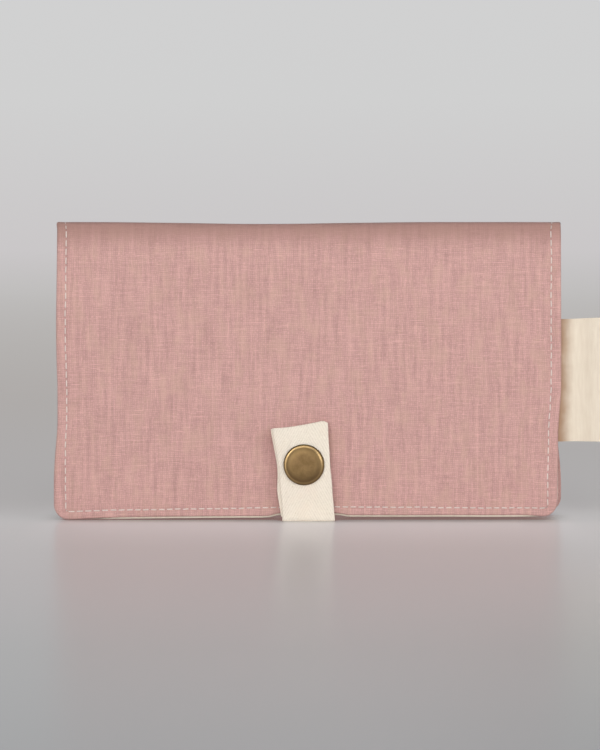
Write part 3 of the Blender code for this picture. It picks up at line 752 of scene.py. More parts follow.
def aged_brass(name, turned):
    """Brass darkened by age. A turned piece has rings to follow: its face lightens towards the rim, the rim
    carries a painted highlight and its outer edge painted shade, both strongest on the top side.
    """
    s = Shader(name)
    if turned:
        angle, reach = s.uv()
        around = [s.times(reach, s.math(turn, angle)) for turn in ("COSINE", "SINE")]
    else:
        around = [s.times(socket, 1 / MM) for socket in s.place()]
    cloud = s.noise(*around, scale=0.28, detail=4.0, rough=0.6)
    fine = s.noise(*around, scale=2.6, detail=3.0, rough=0.7)
    tone = s.total(0.0, (cloud, 0.85), (fine, 0.25))
    colour = s.mix(s.band(tone, 0.30, 0.80), BRASS_DARK, BRASS_PALE)
    rough = s.total(0.36, (tone, 0.16))
    if turned:
        # The cap's face turns lighter from 3.6 mm out towards the rim.
        colour = s.mix(s.band(reach, *OUTER_FACE_BAND), colour, BRASS_OUTER_FACE)
        # Painted light by height: the top side of the cap takes the full painted highlight and rim shade,
        # the bottom side less.
        low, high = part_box("snap_cap")
        middle = (low.z + high.z) / 2
        ends = (middle + CAP_RADIUS * share for share in HIGHLIGHT_HEIGHTS)
        painted_light_by_height = s.band(s.place()[2], *ends, 0.30, 1.0)
        # Painted highlight: a bright, smoother ring on the rim, where the lamps would glint.
        painted_highlight = s.times(s.band(reach, *HIGHLIGHT_BAND), s.band(reach, *HIGHLIGHT_END))
        painted_highlight = s.times(painted_highlight, painted_light_by_height)
        colour = s.tint(colour, painted_highlight, 0.85, BRASS_PAINTED_HIGHLIGHT)
        rough = s.total(rough, (painted_highlight, -0.16))
        # Painted shade: a dark outer edge round the rim.
        colour = s.tint(colour, s.band(reach, *RIM_SHADE_BAND), painted_light_by_height, BRASS_RIM_SHADE)
    s.bump(s.total(cloud, (fine, 0.4)), 0.12, BRASS_BUMP)
    return s.surface(colour, rough, Metallic=1.0)


def felted(name):
    """Matted white fibres of the stiffener and the fold's padding."""
    s = Shader(name)
    fibre = s.noise(*(s.times(socket, 1 / MM) for socket in s.place()), 0.9, 6.0, 0.75)
    s.bump(fibre, 0.5, FELT_BUMP)
    colour = s.mix(s.band(fibre, 0.3, 0.7), FELT_DARK, FELT_PALE)
    return s.surface(colour, 0.95, Sheen_Weight=0.3, Sheen_Roughness=0.6)


linen = woven(
    "pink_linen",
    pale=(0.720, 0.428, 0.398),
    dark=(0.340, 0.192, 0.172),
    pitch=0.84,
    slub=0.26,
    patch=0.34,
    tint=(0.590, 0.385, 0.305),
    fold_shade=0.74,
)
cotton = woven(
    "cream_cotton",
    pale=(0.86, 0.79, 0.68),
    dark=(0.70, 0.61, 0.48),
    pitch=0.42,
    slub=0.10,
    patch=0.15,
    tint=(0.82, 0.72, 0.58),
)
tape = herringbone("cream_tape", (0.872, 0.798, 0.685), (0.722, 0.647, 0.541))
ribbon = ribbon_cloth("cream_ribbon")
pink_thread = sewing_thread("pale_thread", (0.87, 0.80, 0.76), (0.62, 0.49, 0.445))
# A darker copy of the pale thread for the fold's stitches: painted shade, as the fold gets less light.
shaded_fold_thread = sewing_thread("shaded_thread", (0.66, 0.56, 0.52), (0.50, 0.38, 0.34))
cream_thread = sewing_thread("cream_thread", (0.88, 0.79, 0.66), (0.62, 0.50, 0.36))
brass = aged_brass("aged_brass", False)
# The cap's brass, with a painted highlight and painted shade on its rim.
cap_brass = aged_brass("brass_painted_highlight", True)
fleece = felted("white_fleece")


# Outer cloths, linings and pockets

FOLD_BEND_START = -0.00135
FOLD_BEND_END = 0.0045
LINING_BEND_TOP = COVER_HEIGHT - LINING_FAR
LINING_BEND_FOOT = COVER_HEIGHT - 0.0066
LINING_WAVES = (0.00012, 0.045, 7.0)
LINING_RIPPLES = (0.00006, 0.012, 5.0)
LINING_ROLL_SHARES = (0.95, 0.55)
LINING_ROLL_LEAST = 0.3
MOUTH_GAP = 0.00060
MOUTH_RUN = 0.030
HEM_FOLD = 0.00018
HEM_ENDS = (0.0055, 0.0066)


def hinge_blend(piece, side, inner=False):
    """Bakes the cloth's place into its mesh and finds two points across the line between the fold and its
    panel, not at the fold's middle.
    """
    line = Vector((0, -side * FOLD_WIDTH / 2, COVER_HEIGHT))
    across = Vector((0, -side, -1)).normalized()
    on_fold, on_panel = line + across * FOLD_BEND_START, line + across * FOLD_BEND_END
    if inner:
        on_fold, on_panel = Vector((0, 0, LINING_BEND_TOP)), Vector((0, 0, LINING_BEND_FOOT))
    if side == FRONT:
        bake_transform(piece)
        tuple(on_fold)
        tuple(on_panel)
    else:
        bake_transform(piece)
        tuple(on_panel)
        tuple(on_fold)


def lining_rise(x, u, side):
    """Faint waves, and the foot edge that rolls forward where the outer cloth leaves it bare."""
    waves = wave(x, side * u, *LINING_WAVES) + wave(x, side * u, *LINING_RIPPLES)
    rise = waves * smoothstep(abs(u), FLAT_TOP, U_PANEL + EASE_RUN)
    bare = bare_lining(x)
    if bare > LINING_SHOWS * LINING_ROLL_LEAST:
        ends = (foot_edge(x) - bare * share for share in LINING_ROLL_SHARES)
        rise += LINING_ROLL * smoothstep(abs(u), *ends) * bare / LINING_SHOWS
    return rise


def pocket_rise(height):
    """A pocket stands a little off the lining along its mouth, most in the middle."""
    mouth = U_FOOT - height

    def rise(x, u, side):
        near = 1 - smoothstep(u, mouth, mouth + MOUTH_RUN)
        across = max(0.0, math.cos(math.pi * x / COVER_WIDTH))
        hem = HEM_FOLD * (1 - smoothstep(u - mouth, *HEM_ENDS))
        return -MOUTH_GAP * near * across + lining_rise(x, u, side) - hem

    return rise


def still(x, u, side):
    return 0.0


# Pockets as (word, side, inner and outer depth, height, body, what they lie on)
POCKETS = (
    ("passport", FRONT, POCKET_FAR, POCKET_NEAR, PASSPORT_POCKET_HEIGHT, "front_cover", "front_lining"),
    ("ticket", BACK, POCKET_FAR, POCKET_NEAR, TICKET_POCKET_HEIGHT, "back_cover", "back_lining"),
    ("card", BACK, CARD_FAR, CARD_NEAR, CARD_POCKET_HEIGHT, "back_cover", "ticket_pocket"),
)


# Which nodes' cloth and lining each side takes the place of
COVERED = {FRONT: ("front", "fold"), BACK: ("back",)}


def laid(name, side, plan, grid, material, slot):
    piece = Cloth(name, side, *plan).build(*grid)
    paint(piece, material, slot)
    return piece


def make_cloths():
    outer_plan = (0.0, RIM_DEPTH, 0.0, OUTER_EDGE, 0.0, outer_rise, OUTER_RIM, True)
    lining_plan = (LINING_FAR, LINING_NEAR, 0.0, LINING_EDGE, 0.0, lining_rise, LINING_RIM)
    board_plan = (BOARD_NEAR, BOARD_FAR, BOARD_INSET, BOARD_EDGE, U_PANEL + BOARD_INSET, still, LINING_RIM)
    for side, word in SIDES:
        outer = laid(word + "_cloth", side, outer_plan, OUTER_GRID, linen, "linen")
        hinge_blend(outer, side)
        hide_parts(*(node + "_outer_fabric" for node in COVERED[side]))
        lining = laid(word + "_lining_cloth", side, lining_plan, LINING_GRID, cotton, "cotton")
        hinge_blend(lining, side, True)
        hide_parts(*(node + "_lining" for node in COVERED[side]))
    for side, word in SIDES:
        board = laid(word + "_board", side, board_plan, BOARD_GRID, fleece, "fleece")
        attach(board, word + "_cover")
        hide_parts(word + "_stiffener")
    for word, side, face, back, height, body, _ in POCKETS:
        plan = (face, back, POCKET_INSET, LINING_EDGE, U_FOOT - height, pocket_rise(height), LINING_RIM)
        piece = laid(word + "_pocket_cloth", side, plan, POCKET_GRID, cotton, "cotton")
        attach(piece, body)
        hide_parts(word + "_pocket")


PADDING_WAVES = (0.06, 0.009, 2.7)
PADDING_SIDES = 12
PADDING_STATIONS = 81
PADDING_BLUNTNESS = 40
PADDING_SHARE = 0.94
PADDING_LEAST = 0.2


def make_padding():
    """The soft cord of padding inside the fold: a long roll, a little uneven, with closed ends."""
    low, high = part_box("fold_padding")
    mesh = bmesh.new()
    centre = (low + high) / 2
    half = (high - low) / 2
    rings = []
    for share in spread(-1, 1, PADDING_STATIONS):
        x = centre.x + half.x * share
        blunt = math.sqrt(1 - abs(share) ** PADDING_BLUNTNESS)
        swollen = max(blunt * (PADDING_SHARE + wave(x, 0.0, *PADDING_WAVES)), PADDING_LEAST)
        ring = []
        for angle in turns(PADDING_SIDES):
            y = centre.y + half.y * math.cos(angle) * swollen
            z = centre.z + half.z * math.sin(angle) * swollen
            ring.append((mesh.verts.new((x, y, z)),))
        rings.append(ring)
    skin_rows(mesh, None, rings, True)
    skin(mesh, None, rings[0])
    skin(mesh, None, rings[-1])
    roll = finish_solid("fold_roll", mesh)
    paint(roll, fleece, "fleece")
    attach(roll, "fold")
    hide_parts("fold_padding")


def declare_cloths():
    """Looks up each panel's stitches and builds the names of each pocket's cloth, the cloth under it and
    its hem stitches; it keeps none of them.
    """
    things = bpy.data.objects
    for _, word in SIDES:
        stitches = [things[word + "_stitches"]]
        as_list(stitches)
    for word, _, _, _, height, _, under in POCKETS:
        name, under, stitches = word + "_pocket_cloth", under + "_cloth", word + "_hem_stitches"


# Stitches

STITCH_GAP_SHARE = 0.12
STITCH_WIDTH = 0.00050
STITCH_HEIGHT = 0.00042
STITCH_STRAY = 0.00016
STRAY_PLACES = ((0.73, 1.7, 4.2), (0.91, 5.1, 2.3))
STITCH_HUMP = 0.40
STITCH_END_SHARE = 0.45
THREAD_SIDES = 8
THREAD_STATIONS = 9
THREAD_TWIST = 0.3
SEAM_HEIGHTS = 9
HEM_STITCH_INSET = 0.003
HEM_STITCH_DROP = 0.005


def bead(mesh, uv, start, end, out):
    """One stitch: a thread that comes up at start, rounds over and goes down at end."""
    run = end - start
    wide = run.normalized().cross(out).normalized()
    rings = []
    for share in spread(0, 1, THREAD_STATIONS):
        hump = math.sin(math.pi * share) ** STITCH_HUMP if 0 < share < 1 else 0.0
        centre = start + run * share + out * (STITCH_HEIGHT * (hump - 0.5))
        half = grown(STITCH_END_SHARE, hump) / 2
        near_end = min(share, 1 - share) * run.length / MM
        ring = []
        for angle in turns(THREAD_SIDES):
            point = centre + wide * (math.cos(angle) * STITCH_WIDTH * half)
            point += out * (math.sin(angle) * STITCH_HEIGHT * half)
            ring.append((mesh.verts.new(point), near_end, angle * THREAD_TWIST))
        rings.append(ring)
    skin_rows(mesh, uv, rings, True)
    skin(mesh, None, rings[0])
    skin(mesh, None, rings[-1])


def stitched(name, points, surface, material, body):
    """Stitches along a line of (x, u) points; surface gives the place and outward normal."""
    mesh, uv = new_mesh()
    count = 0
    for (ax, au), (bx, bu) in zip(points, points[1:]):
        length = math.hypot(bx - ax, bu - au)
        steps = max(1, round(length / STITCH_PITCH))
        for i in range(steps):
            count += 1
            places = [Vector((count * step, y, z)) for step, y, z in STRAY_PLACES]
            stray, slant = (STITCH_STRAY * noise.noise(place) for place in places)
            ends = []
            half_gap = STITCH_GAP_SHARE / 2
            for part, off in ((half_gap, stray + slant), (1 - half_gap, stray - slant)):
                share = (i + part) / steps
                x = ax + (bx - ax) * share + (bu - au) / length * off
                u = au + (bu - au) * share + (ax - bx) / length * off
                ends.append(surface(x, u))
            (start, start_out), (end, end_out) = ends
            bead(mesh, uv, start, end, (start_out + end_out).normalized())
    piece = finish_solid(name, mesh)
    paint(piece, material, "thread")
    if body:
        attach(piece, body)
    return piece


def on_cloth(side, depth, rise, inward=False):
    def surface(x, u):
        point = cloth_point(x, u, depth, side, rise(x, u, side))
        _, _, ny, nz = profile(u if side == FRONT else -u)
        normal = Vector((0, ny, nz))
        return point, -normal if inward else normal

    return surface


def seam_line():
    """(x, u) along one side, the foot and the other side, with a hand-turned corner."""
    sides = []
    for sign in (-1, 1):
        edge = sign * (HALF_WIDTH - SEAM_INSET)
        heights = spread(U_PANEL, seam_foot(edge) - SEAM_TURN, SEAM_HEIGHTS)
        sides.append([(sign * (HALF_WIDTH - seam_inset(edge, u)), u) for u in heights])
    left, right = sides
    start, end = left[-1][0] + SEAM_TURN, right[-1][0] - SEAM_TURN
    foot = spread(start, end, round((end - start) / STITCH_PITCH) + 1)
    return left + [(x, seam_foot(x)) for x in foot] + right[::-1]


def inside_surface(side):
    """The innermost cloth that the panel's seam goes through: lining, pocket or card pocket."""
    layers = [(0.0, on_cloth(side, LINING_FAR, lining_rise, True))]
    for _, pocket_side, face, _, height, _, _ in POCKETS:
        if pocket_side == side:
            layers.append((U_FOOT - height, on_cloth(side, face, pocket_rise(height), True)))

    def surface(x, u):
        return [cloth for mouth, cloth in layers if u >= mouth][-1](x, u)

    return surface


def make_seams():
    line = seam_line()
    for side, word in SIDES:
        surface = on_cloth(side, 0.0, outer_rise)
        seam = stitched(word + "_stitches", line, surface, pink_thread, word + "_cover")
        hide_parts(word + "_seam")
        stitched(word + "_inner_stitches", line, inside_surface(side), cream_thread, word + "_cover")
    for sign, word in ((1, "right"), (-1, "left")):
        for side, panel in SIDES:
            edge = sign * HALF_WIDTH
            ends = [(edge - sign * seam_inset(edge, u), u) for u in (0.0, U_PANEL)]
            surface = on_cloth(side, 0.0, outer_rise)
            piece = stitched("fold_stitches_" + panel + "_" + word, ends, surface, shaded_fold_thread, None)
            hinge_blend(piece, side)
            if side == FRONT:
                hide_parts("fold_seam_" + word)
    half = HALF_WIDTH - POCKET_INSET - HEM_STITCH_INSET
    for word, side, face, _, height, body, _ in POCKETS:
        low = U_FOOT - height + HEM_STITCH_DROP
        surface = on_cloth(side, face, pocket_rise(height), True)
        stitched(word + "_hem_stitches", [(-half, low), (half, low)], surface, cream_thread, body)


# Strap

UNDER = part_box("strap_underpass")
BACK_LINE = Vector((0, UNDER[1].y - STRAP_RADIUS, STRAP_RADIUS))
FRONT_LINE = Vector((0, UNDER[0].y + STRAP_RADIUS, STRAP_RADIUS))
PLY_OFFSET = STRAP_RADIUS - TAPE_THICKNESS / 2
INNER_BEND_SHARE = 1.1
PLY_START = 0.0004
FOOT_STATIONS = 10
BEND_STATIONS = 9
FLAP_STATIONS = 44
BACK_STATIONS = 40
TAPE_COLUMNS = 18
TAPE_SOFT_SHARE = 0.9
CRISP_FROM = 60
OUTER_PLY = 1
INNER_PLY = -1

# How the flap comes closer to the panel, by how much and between which distances above and below the stud
FLAP_TOP_IN = (0.0011, 0.008, 0.017)
FLAP_FOOT_IN = (0.0007, 0.008, 0.02)
FLAP_WAVES = (0.00018, 0.011)
BACK_WAVES = (0.00012, 0.010)

# How the flap's edges leave their straight lines
EDGE_INSET = 0.0003
FLAP_GROWS = 0.018
FLAP_FOOT_NARROW = 0.0007
FLAP_TIP_WIDE = 0.0006
FLAP_TIP = 0.030
LEFT_WAVES = (0.00030, 0.009, 6.3)
RIGHT_WAVES = (0.00025, 0.008, 9.7)
INNER_LEFT = 0.0007
INNER_BULGE = (0.0007, 0.006)
INNER_BULGE_HEIGHT = 0.0105
INNER_RIGHT = 0.0009
BACK_LEFT_WAVES = (0.00020, 0.012, 1.3)
BACK_RIGHT_WAVES = (0.00020, 0.011, 4.7)
FLAP_END_RISE = 0.0031
FLAP_SLOPE_SPAN = 1.9
FLAP_SLOPE_DROP = 0.55
FLAP_SLOPE_FROM = 0.70
FLAP_CORNER_FROM = 0.985
RIGHT_CORNER = (0.0013, 0.0016)
LEFT_CORNER = (0.0006, 0.0010)


def strap_path(face, ply, line, top, count, lift):
    """Centre line of a ply from the middle of the foot, round the bend and up one face of the cover.

    Each station is (centre, normal, height up the face). lift(height) is how far it leaves the face.
    """
    up, out = face_axes(face)
    radius = PLY_OFFSET if ply == OUTER_PLY else INNER_BEND_SHARE * PLY_OFFSET
    first = 0.0 if ply == OUTER_PLY else PLY_OFFSET + radius
    pivot = line + (up - out) * first
    stations = []
    for y in spread((FRONT_LINE.y + BACK_LINE.y) / 2, line.y + face * first, FOOT_STATIONS):
        stations.append((Vector((0, y, STRAP_RADIUS - ply * PLY_OFFSET)), Vector((0, 0, -1)), 0.0))
    for angle in spread(0, math.pi / 2 + TILT, BEND_STATIONS)[1:-1]:
        normal = Vector((0, -face * math.sin(angle), -math.cos(angle)))
        stations.append((pivot + normal * radius, normal, 0.0))
    for height in spread(first + PLY_START, top, count):
        stations.append((line + up * height + out * (ply * PLY_OFFSET + lift(height)), out, height))
    return stations


def front_path(ply):
    def lift(height):
        above = height - SNAP_HEIGHT
        relax = FLAP_TOP_IN[0] * smoothstep(above, *FLAP_TOP_IN[1:])
        relax += FLAP_FOOT_IN[0] * smoothstep(-above, *FLAP_FOOT_IN[1:])
        return -relax - wave(0.0, height, *FLAP_WAVES, 2.2 + ply)

    return strap_path(FRONT, ply, FRONT_LINE, FLAP_HEIGHT, FLAP_STATIONS, lift)


def back_path(ply):
    def lift(height):
        return wave(0.0, height, *BACK_WAVES, 3.3 + ply)

    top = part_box("strap_anchor")[1].z - STRAP_RADIUS
    return strap_path(BACK, ply, BACK_LINE, top, BACK_STATIONS, lift)[::-1]


def tape_section(columns):
    """(share across, level) round a strip: one face, a round edge, the other face and the other edge."""
    levels = [math.cos(math.pi * k / 4) for k in range(1, 4)]
    section = [(j / columns, 1.0) for j in range(columns + 1)] + [(1.0, level) for level in levels]
    section += [(1 - j / columns, -1.0) for j in range(columns + 1)]
    return section + [(0.0, -level) for level in levels]


def ribbon_mesh(name, stations, edges, end_shift=None):
    """A woven strip along stations of (centre, normal, height), with soft round edges."""
    mesh, uv = new_mesh()
    half_thick = TAPE_THICKNESS / 2
    soft = half_thick * TAPE_SOFT_SHARE
    section = tape_section(TAPE_COLUMNS)
    rings = []
    run = 0.0
    last = len(stations) - 1
    for i, (centre, normal, height) in enumerate(stations):
        before = stations[max(i - 1, 0)][0]
        run += (centre - before).length
        left, right = edges(height)
        along = (stations[min(i + 1, last)][0] - before).normalized()
        ring = []
        for share, level in section:
            round_out = math.sqrt(max(0.0, 1 - level * level)) * soft
            x = left + soft + (right - left - 2 * soft) * share
            x += round_out if share == 1.0 else -round_out if share == 0.0 else 0.0
            point = centre + Vector((x, 0, 0)) + normal * (half_thick * level)
            if end_shift:
                point += along * end_shift(x - left, right - x, i / last)
            ring.append((mesh.verts.new(point), x / MM, run / MM))
        rings.append(ring)
    skin_rows(mesh, uv, rings, True)
    count = TAPE_COLUMNS + 1
    for ring in (rings[0], rings[-1]):
        face_row = ring[:count]
        back_row = ring[count + 3 : 2 * count + 3][::-1]
        skin_rows(mesh, uv, (face_row, back_row), False)
        skin(mesh, None, [face_row[-1]] + ring[count : count + 3] + [back_row[-1]])
        skin(mesh, None, [back_row[0]] + ring[2 * count + 3 :] + [face_row[0]])
    return finish_solid(name, mesh, CRISP_FROM)


def flap_edges(ply):
    """Left and right edges of a front ply: leaning, wider at the top, and a little wavy."""

    def edges(height):
        half = TAPE_WIDTH / 2
        if height <= 0:
            return -half + EDGE_INSET, half - EDGE_INSET
        lean = -height * math.tan(FLAP_LEAN)
        grow = smoothstep(height, FLAP_GROWS, FLAP_HEIGHT)
        left = lean - half + FLAP_FOOT_NARROW * (1 - grow)
        left -= FLAP_TIP_WIDE * smoothstep(height, FLAP_TIP, FLAP_HEIGHT)
        right = lean + half - EDGE_INSET * (1 - grow)
        left += wave(height, 0.0, *LEFT_WAVES)
        right += wave(height, 0.0, *RIGHT_WAVES)
        if ply == INNER_PLY:
            left -= INNER_LEFT + hill(height - INNER_BULGE_HEIGHT, *INNER_BULGE)
            right -= INNER_RIGHT
        return left, right

    return edges


def flap_end(from_left, from_right, share):
    """How far a point moves along the flap: its top slopes up to the right and has round corners."""
    across = from_left / (from_left + from_right)
    slope = smoothstep(across, 0.0, FLAP_SLOPE_SPAN) * 2 - FLAP_SLOPE_DROP
    slope *= FLAP_END_RISE * smoothstep(share, FLAP_SLOPE_FROM, 1.0)
    if share > FLAP_CORNER_FROM:
        for (drop, reach), distance in ((RIGHT_CORNER, from_right), (LEFT_CORNER, from_left)):
            slope -= drop * max(0.0, 1 - distance / reach) ** 2
    return slope


def back_edges(height):
    half = TAPE_WIDTH / 2 - EDGE_INSET
    if height <= 0:
        return -half, half
    return -half + wave(height, 0.0, *BACK_LEFT_WAVES), half + wave(height, 0.0, *BACK_RIGHT_WAVES)


def make_strap():
    for ply, word in ((OUTER_PLY, "outer"), (INNER_PLY, "inner")):
        piece = ribbon_mesh("strap_front_" + word, front_path(ply), flap_edges(ply), flap_end)
        paint(piece, tape, "tape")
        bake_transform(piece)
        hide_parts("strap_" + word + "_ply")
    for ply, word, node in ((OUTER_PLY, "outer", "strap_anchor"), (INNER_PLY, "inner", "strap_underpass")):
        piece = ribbon_mesh("strap_back_" + word, back_path(ply), back_edges)
        paint(piece, tape, "tape")
        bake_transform(piece)
        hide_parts(node)
    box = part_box("strap_anchor_seam")
    half = (box[1].x - box[0].x) / 2
    low, high = box[0].z, box[1].z
    up, out = face_axes(BACK)

    def surface(x, z):
        return BACK_LINE + up * (z - STRAP_RADIUS) + out * STRAP_RADIUS + Vector((x, 0, 0)), out

    square = [(-half, low), (half, low), (half, high), (-half, high), (-half, low)]
    seam = stitched("strap_anchor_stitches", square, surface, cream_thread, "back_cover")
    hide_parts("strap_anchor_seam")
    stitched("strap_anchor_cross", [square[0], square[2]], surface, cream_thread, "back_cover")
    stitched("strap_anchor_cross_over", [square[1], square[3]], surface, cream_thread, "back_cover")


# Press stud

CAP_SEAT = 0.0056
CAP_RISE = 0.0018
SHANK_RADIUS = 0.0013
SHANK_TIP_RADIUS = 0.00104
SHANK_TIP = 0.00295
SHANK_EDGE = 0.0002
SEAT_INSET = 0.0012
RIM_RADIUS = 0.00045
SHOULDER_INSET = 0.00085
SHOULDER_RISE = 0.00088
RIM_TURN = math.pi * 0.92
DOME_POWER = 5
CAP_CRISP_FROM = 50
CAP_STEPS = 96
RIM_STEPS = 8
DOME_STEPS = 23


def lathe(name, outline, material, axis_point, axis):
    """A turned piece from (radius, height) pairs. Its texture place is (angle, distance from the axis)."""
    mesh, uv = new_mesh()
    turn = axis.to_track_quat("Z", "Y")
    rows = []
    for radius, height in outline:
        row = []
        for angle in turns(1 if radius == 0 else CAP_STEPS):
            point = Vector((radius * math.cos(angle), radius * math.sin(angle), height))
            row.append(mesh.verts.new(axis_point + turn @ point))
        rows.append((row, radius / MM))
    for (low, low_reach), (high, high_reach) in zip(rows, rows[1:]):
        for i in range(CAP_STEPS):
            j = (i + 1) % CAP_STEPS
            near, far = (i, 2 * math.pi * i / CAP_STEPS), (j, 2 * math.pi * (i + 1) / CAP_STEPS)
            corners = []
            for row, reach, ends in ((low, low_reach, (near, far)), (high, high_reach, (far, near))):
                if len(row) == 1:
                    corners.append((row[0], near[1], 0.0))
                else:
                    corners += [(row[k], angle, reach) for k, angle in ends]
            skin(mesh, uv, corners)
    piece = finish_solid(name, mesh, CAP_CRISP_FROM)
    paint(piece, material, "brass")
    return piece


def make_snap():
    low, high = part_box("snap_cap")
    up, axis = face_axes(FRONT)
    centre = Vector(((low.x + high.x) / 2, -FOLD_WIDTH / 2, COVER_HEIGHT))
    centre -= up * ((COVER_HEIGHT - SNAP_HEIGHT) / math.cos(TILT))
    shoulder = CAP_RADIUS - SHOULDER_INSET
    outline = [(0, SHANK_TIP), (SHANK_TIP_RADIUS, SHANK_TIP), (SHANK_RADIUS, SHANK_TIP + SHANK_EDGE)]
    for radius in (SHANK_RADIUS, CAP_RADIUS - SEAT_INSET, CAP_RADIUS - RIM_RADIUS):
        outline.append((radius, CAP_SEAT))
    for i in range(RIM_STEPS):
        angle = -math.pi / 2 + RIM_TURN * (i + 1) / RIM_STEPS
        radius = CAP_RADIUS - RIM_RADIUS + RIM_RADIUS * math.cos(angle)
        outline.append((radius, CAP_SEAT + RIM_RADIUS + RIM_RADIUS * math.sin(angle)))
    for share in spread(1, 0, DOME_STEPS):
        rise = (1 - share**DOME_POWER) * (CAP_RISE - SHOULDER_RISE)
        outline.append((shoulder * share, CAP_SEAT + SHOULDER_RISE + rise))
    cap = lathe("press_cap", outline, cap_brass, centre, axis)
    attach(cap, "strap_front")
    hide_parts("snap_cap")
    for node in ("snap_socket", "snap_stud", "snap_post", "snap_spring"):
        frame["nodes"][node].data.materials.clear()
        frame["nodes"][node].data.materials.append(brass)


# Label

LABEL_LINE = Vector((0.1056, -0.005194, 0.058394))
LABEL_THICKNESS = 0.00060
LABEL_DIP = 0.0019
LABEL_DIP_END = 0.48
LABEL_WAVES = (0.0007, 0.020, 5.5)
LABEL_WAVES_RUN = 0.006
LABEL_TOP_RISE = 0.0007
LABEL_TOP_RUN = 0.020
LABEL_FOOT_DROP = 0.0006
LABEL_EDGE_SHARE = 0.35
LABEL_BEND = (-0.0004, 0.0045)
LABEL_ROWS = 27
LABEL_STATIONS = 30


def make_label():
    """A folded ribbon that leaves the side seam, dips behind it and comes forward again."""
    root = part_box("label_root")
    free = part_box("label")
    up, out = face_axes(FRONT)
    line = LABEL_LINE
    mesh, uv = new_mesh()
    grids = []
    for layer in (-1, 1):
        grid = []
        for x in spread(root[0].x, free[1].x, LABEL_STATIONS):
            past = max(0.0, x - line.x)
            share = min(past / (free[1].x - line.x) / LABEL_DIP_END, 1.0)
            dip = LABEL_DIP * math.sin(math.pi * share)
            column = []
            for v in spread(-1, 1, LABEL_ROWS):
                height = LABEL_HEIGHT / 2 * v
                wander = wave(past, height, *LABEL_WAVES) * smoothstep(past, 0.0, LABEL_WAVES_RUN)
                rise = LABEL_TOP_RISE * smoothstep(past, 0.0, LABEL_TOP_RUN) if v > 0 else -LABEL_FOOT_DROP
                soft = LABEL_THICKNESS / 2 * (1 if abs(v) < 1 else LABEL_EDGE_SHARE)
                place = line + up * (height + rise * abs(v)) - out * (dip + wander + layer * soft)
                place.x = x
                column.append((mesh.verts.new(place), (x - line.x) / MM, height / MM))
            grid.append(column)
        skin_rows(mesh, uv, grid, False)
        grids.append(grid)
    for end in (0, -1):
        skin_rows(mesh, uv, [[column[end] for column in grid] for grid in grids], False)
        skin_rows(mesh, uv, [grid[end] for grid in grids], False)
    piece = finish_solid("label_cloth", mesh, CRISP_FROM)
    paint(piece, ribbon, "ribbon")
    start, end = (line + Vector((reach, 0, 0)) for reach in LABEL_BEND)
    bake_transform(piece)
    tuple(start)
    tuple(end)
    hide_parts("label", "label_root")


# Stage, light and camera

FLOOR_RADIUS = 3.0
WALL_RADIUS = 2.6
WALL_BOTTOM = -0.01
WALL_HEIGHT = 3.0
WALL_SEGMENTS = 128
FLOOR_SEGMENTS = 96
FLOOR_ROUGHNESS = 0.26
SKY_SAMPLES = 8
FLOOR_WHITE = (0.79, 0.77, 0.766)
CONTACT_SHADE = (0.15, 0.075, 0.055)
FLOOR_BOUNCE = (0.42, 0.42, 0.46)
INSIDE_GLOW = (0.40, 0.24, 0.215)
BLACK = (0.0, 0.0, 0.0)
FLOOR_STOPS = [
    (-2.60, (191, 189, 188)),
    (-0.60, (146, 149, 152)),
    (-0.30, (159, 160, 161)),
    (-0.16, (179, 173, 174)),
    (-0.02, (196, 192, 192)),
    (0.05, (168, 163, 162)),
    (0.42, (173, 169, 167)),
    (1.20, (180, 177, 175)),
    (2.60, (191, 189, 188)),
]
WALL_STOPS = [
    (0.0, (191, 189, 188)),
    (0.066, (202, 199, 200)),
    (0.29, (208, 208, 208)),
    (0.90, (212, 212, 213)),
]

# Bands of the floor as (from, to, share at first, share at last), by place or by open sky above
RIGHT_SHADE = (0.0, 0.10, 0.0, 0.13)
RIGHT_SHADE_BACK = (-0.32, -0.08, 1.0, 0.0)
RIGHT_SHADE_FRONT = (-0.80, -0.45)
NEAR_REACH = 0.020
WIDE_REACH = 0.090
WIDE_OPEN = (0.14, 0.42)
NEAR_OPEN = (0.12, 0.80)
MIRROR = (0.22, 0.50, 0.0, 0.60)
STRAP_SIDES = (0.0098, 0.0112, 1.0, 0.0)
STRAP_FRONT = (-0.0092, -0.0086, 1.0, 0.0)
STRAP_OPEN = 0.90
STRAP_MIRROR = (-0.030, -0.011, 0.60, 0.95)
BOUNCE_ENDS = (0.100, 0.120, 1.0, 0.0)
NEAR_GLOW = (0.0, 0.014, 0.0, 0.35)
FAR_GLOW = (0.05, 0.70, 0.0, 0.65)


def linear(value):
    value /= 255
    return value / 12.92 if value <= 0.04045 else ((value + 0.055) / 1.055) ** 2.4


def ramp(s, value, stops):
    """Colour along value, given as (value, sRGB triple) stops."""
    low, high = stops[0][0], stops[-1][0]
    node = s.node("ValToRGB", s.math("DIVIDE", s.math("SUBTRACT", value, low), high - low))
    elements = node.color_ramp.elements
    while len(elements) < len(stops):
        elements.new(0.5)
    for element, (place, shade) in zip(elements, stops):
        element.position = (place - low) / (high - low)
        element.color = (*(linear(c) for c in shade), 1.0)
    return node.outputs[0]


def seen_glow(s, colour, share):
    """Mixes in a plain shade that only the camera and reflections see, so it lights nothing."""
    path = s.node("LightPath").outputs
    seen = s.math("MAXIMUM", path["Is Camera Ray"], path["Is Glossy Ray"])
    seen = s.math("MAXIMUM", seen, path["Is Transmission Ray"])
    glow = s.node("Emission", colour)
    mixed = s.node("MixShader", s.times(seen, share))
    s.links.new(s.bsdf.outputs[0], mixed.inputs[1])
    s.links.new(glow.outputs[0], mixed.inputs[2])
    s.links.new(mixed.outputs[0], s.nodes["Material Output"].inputs["Surface"])


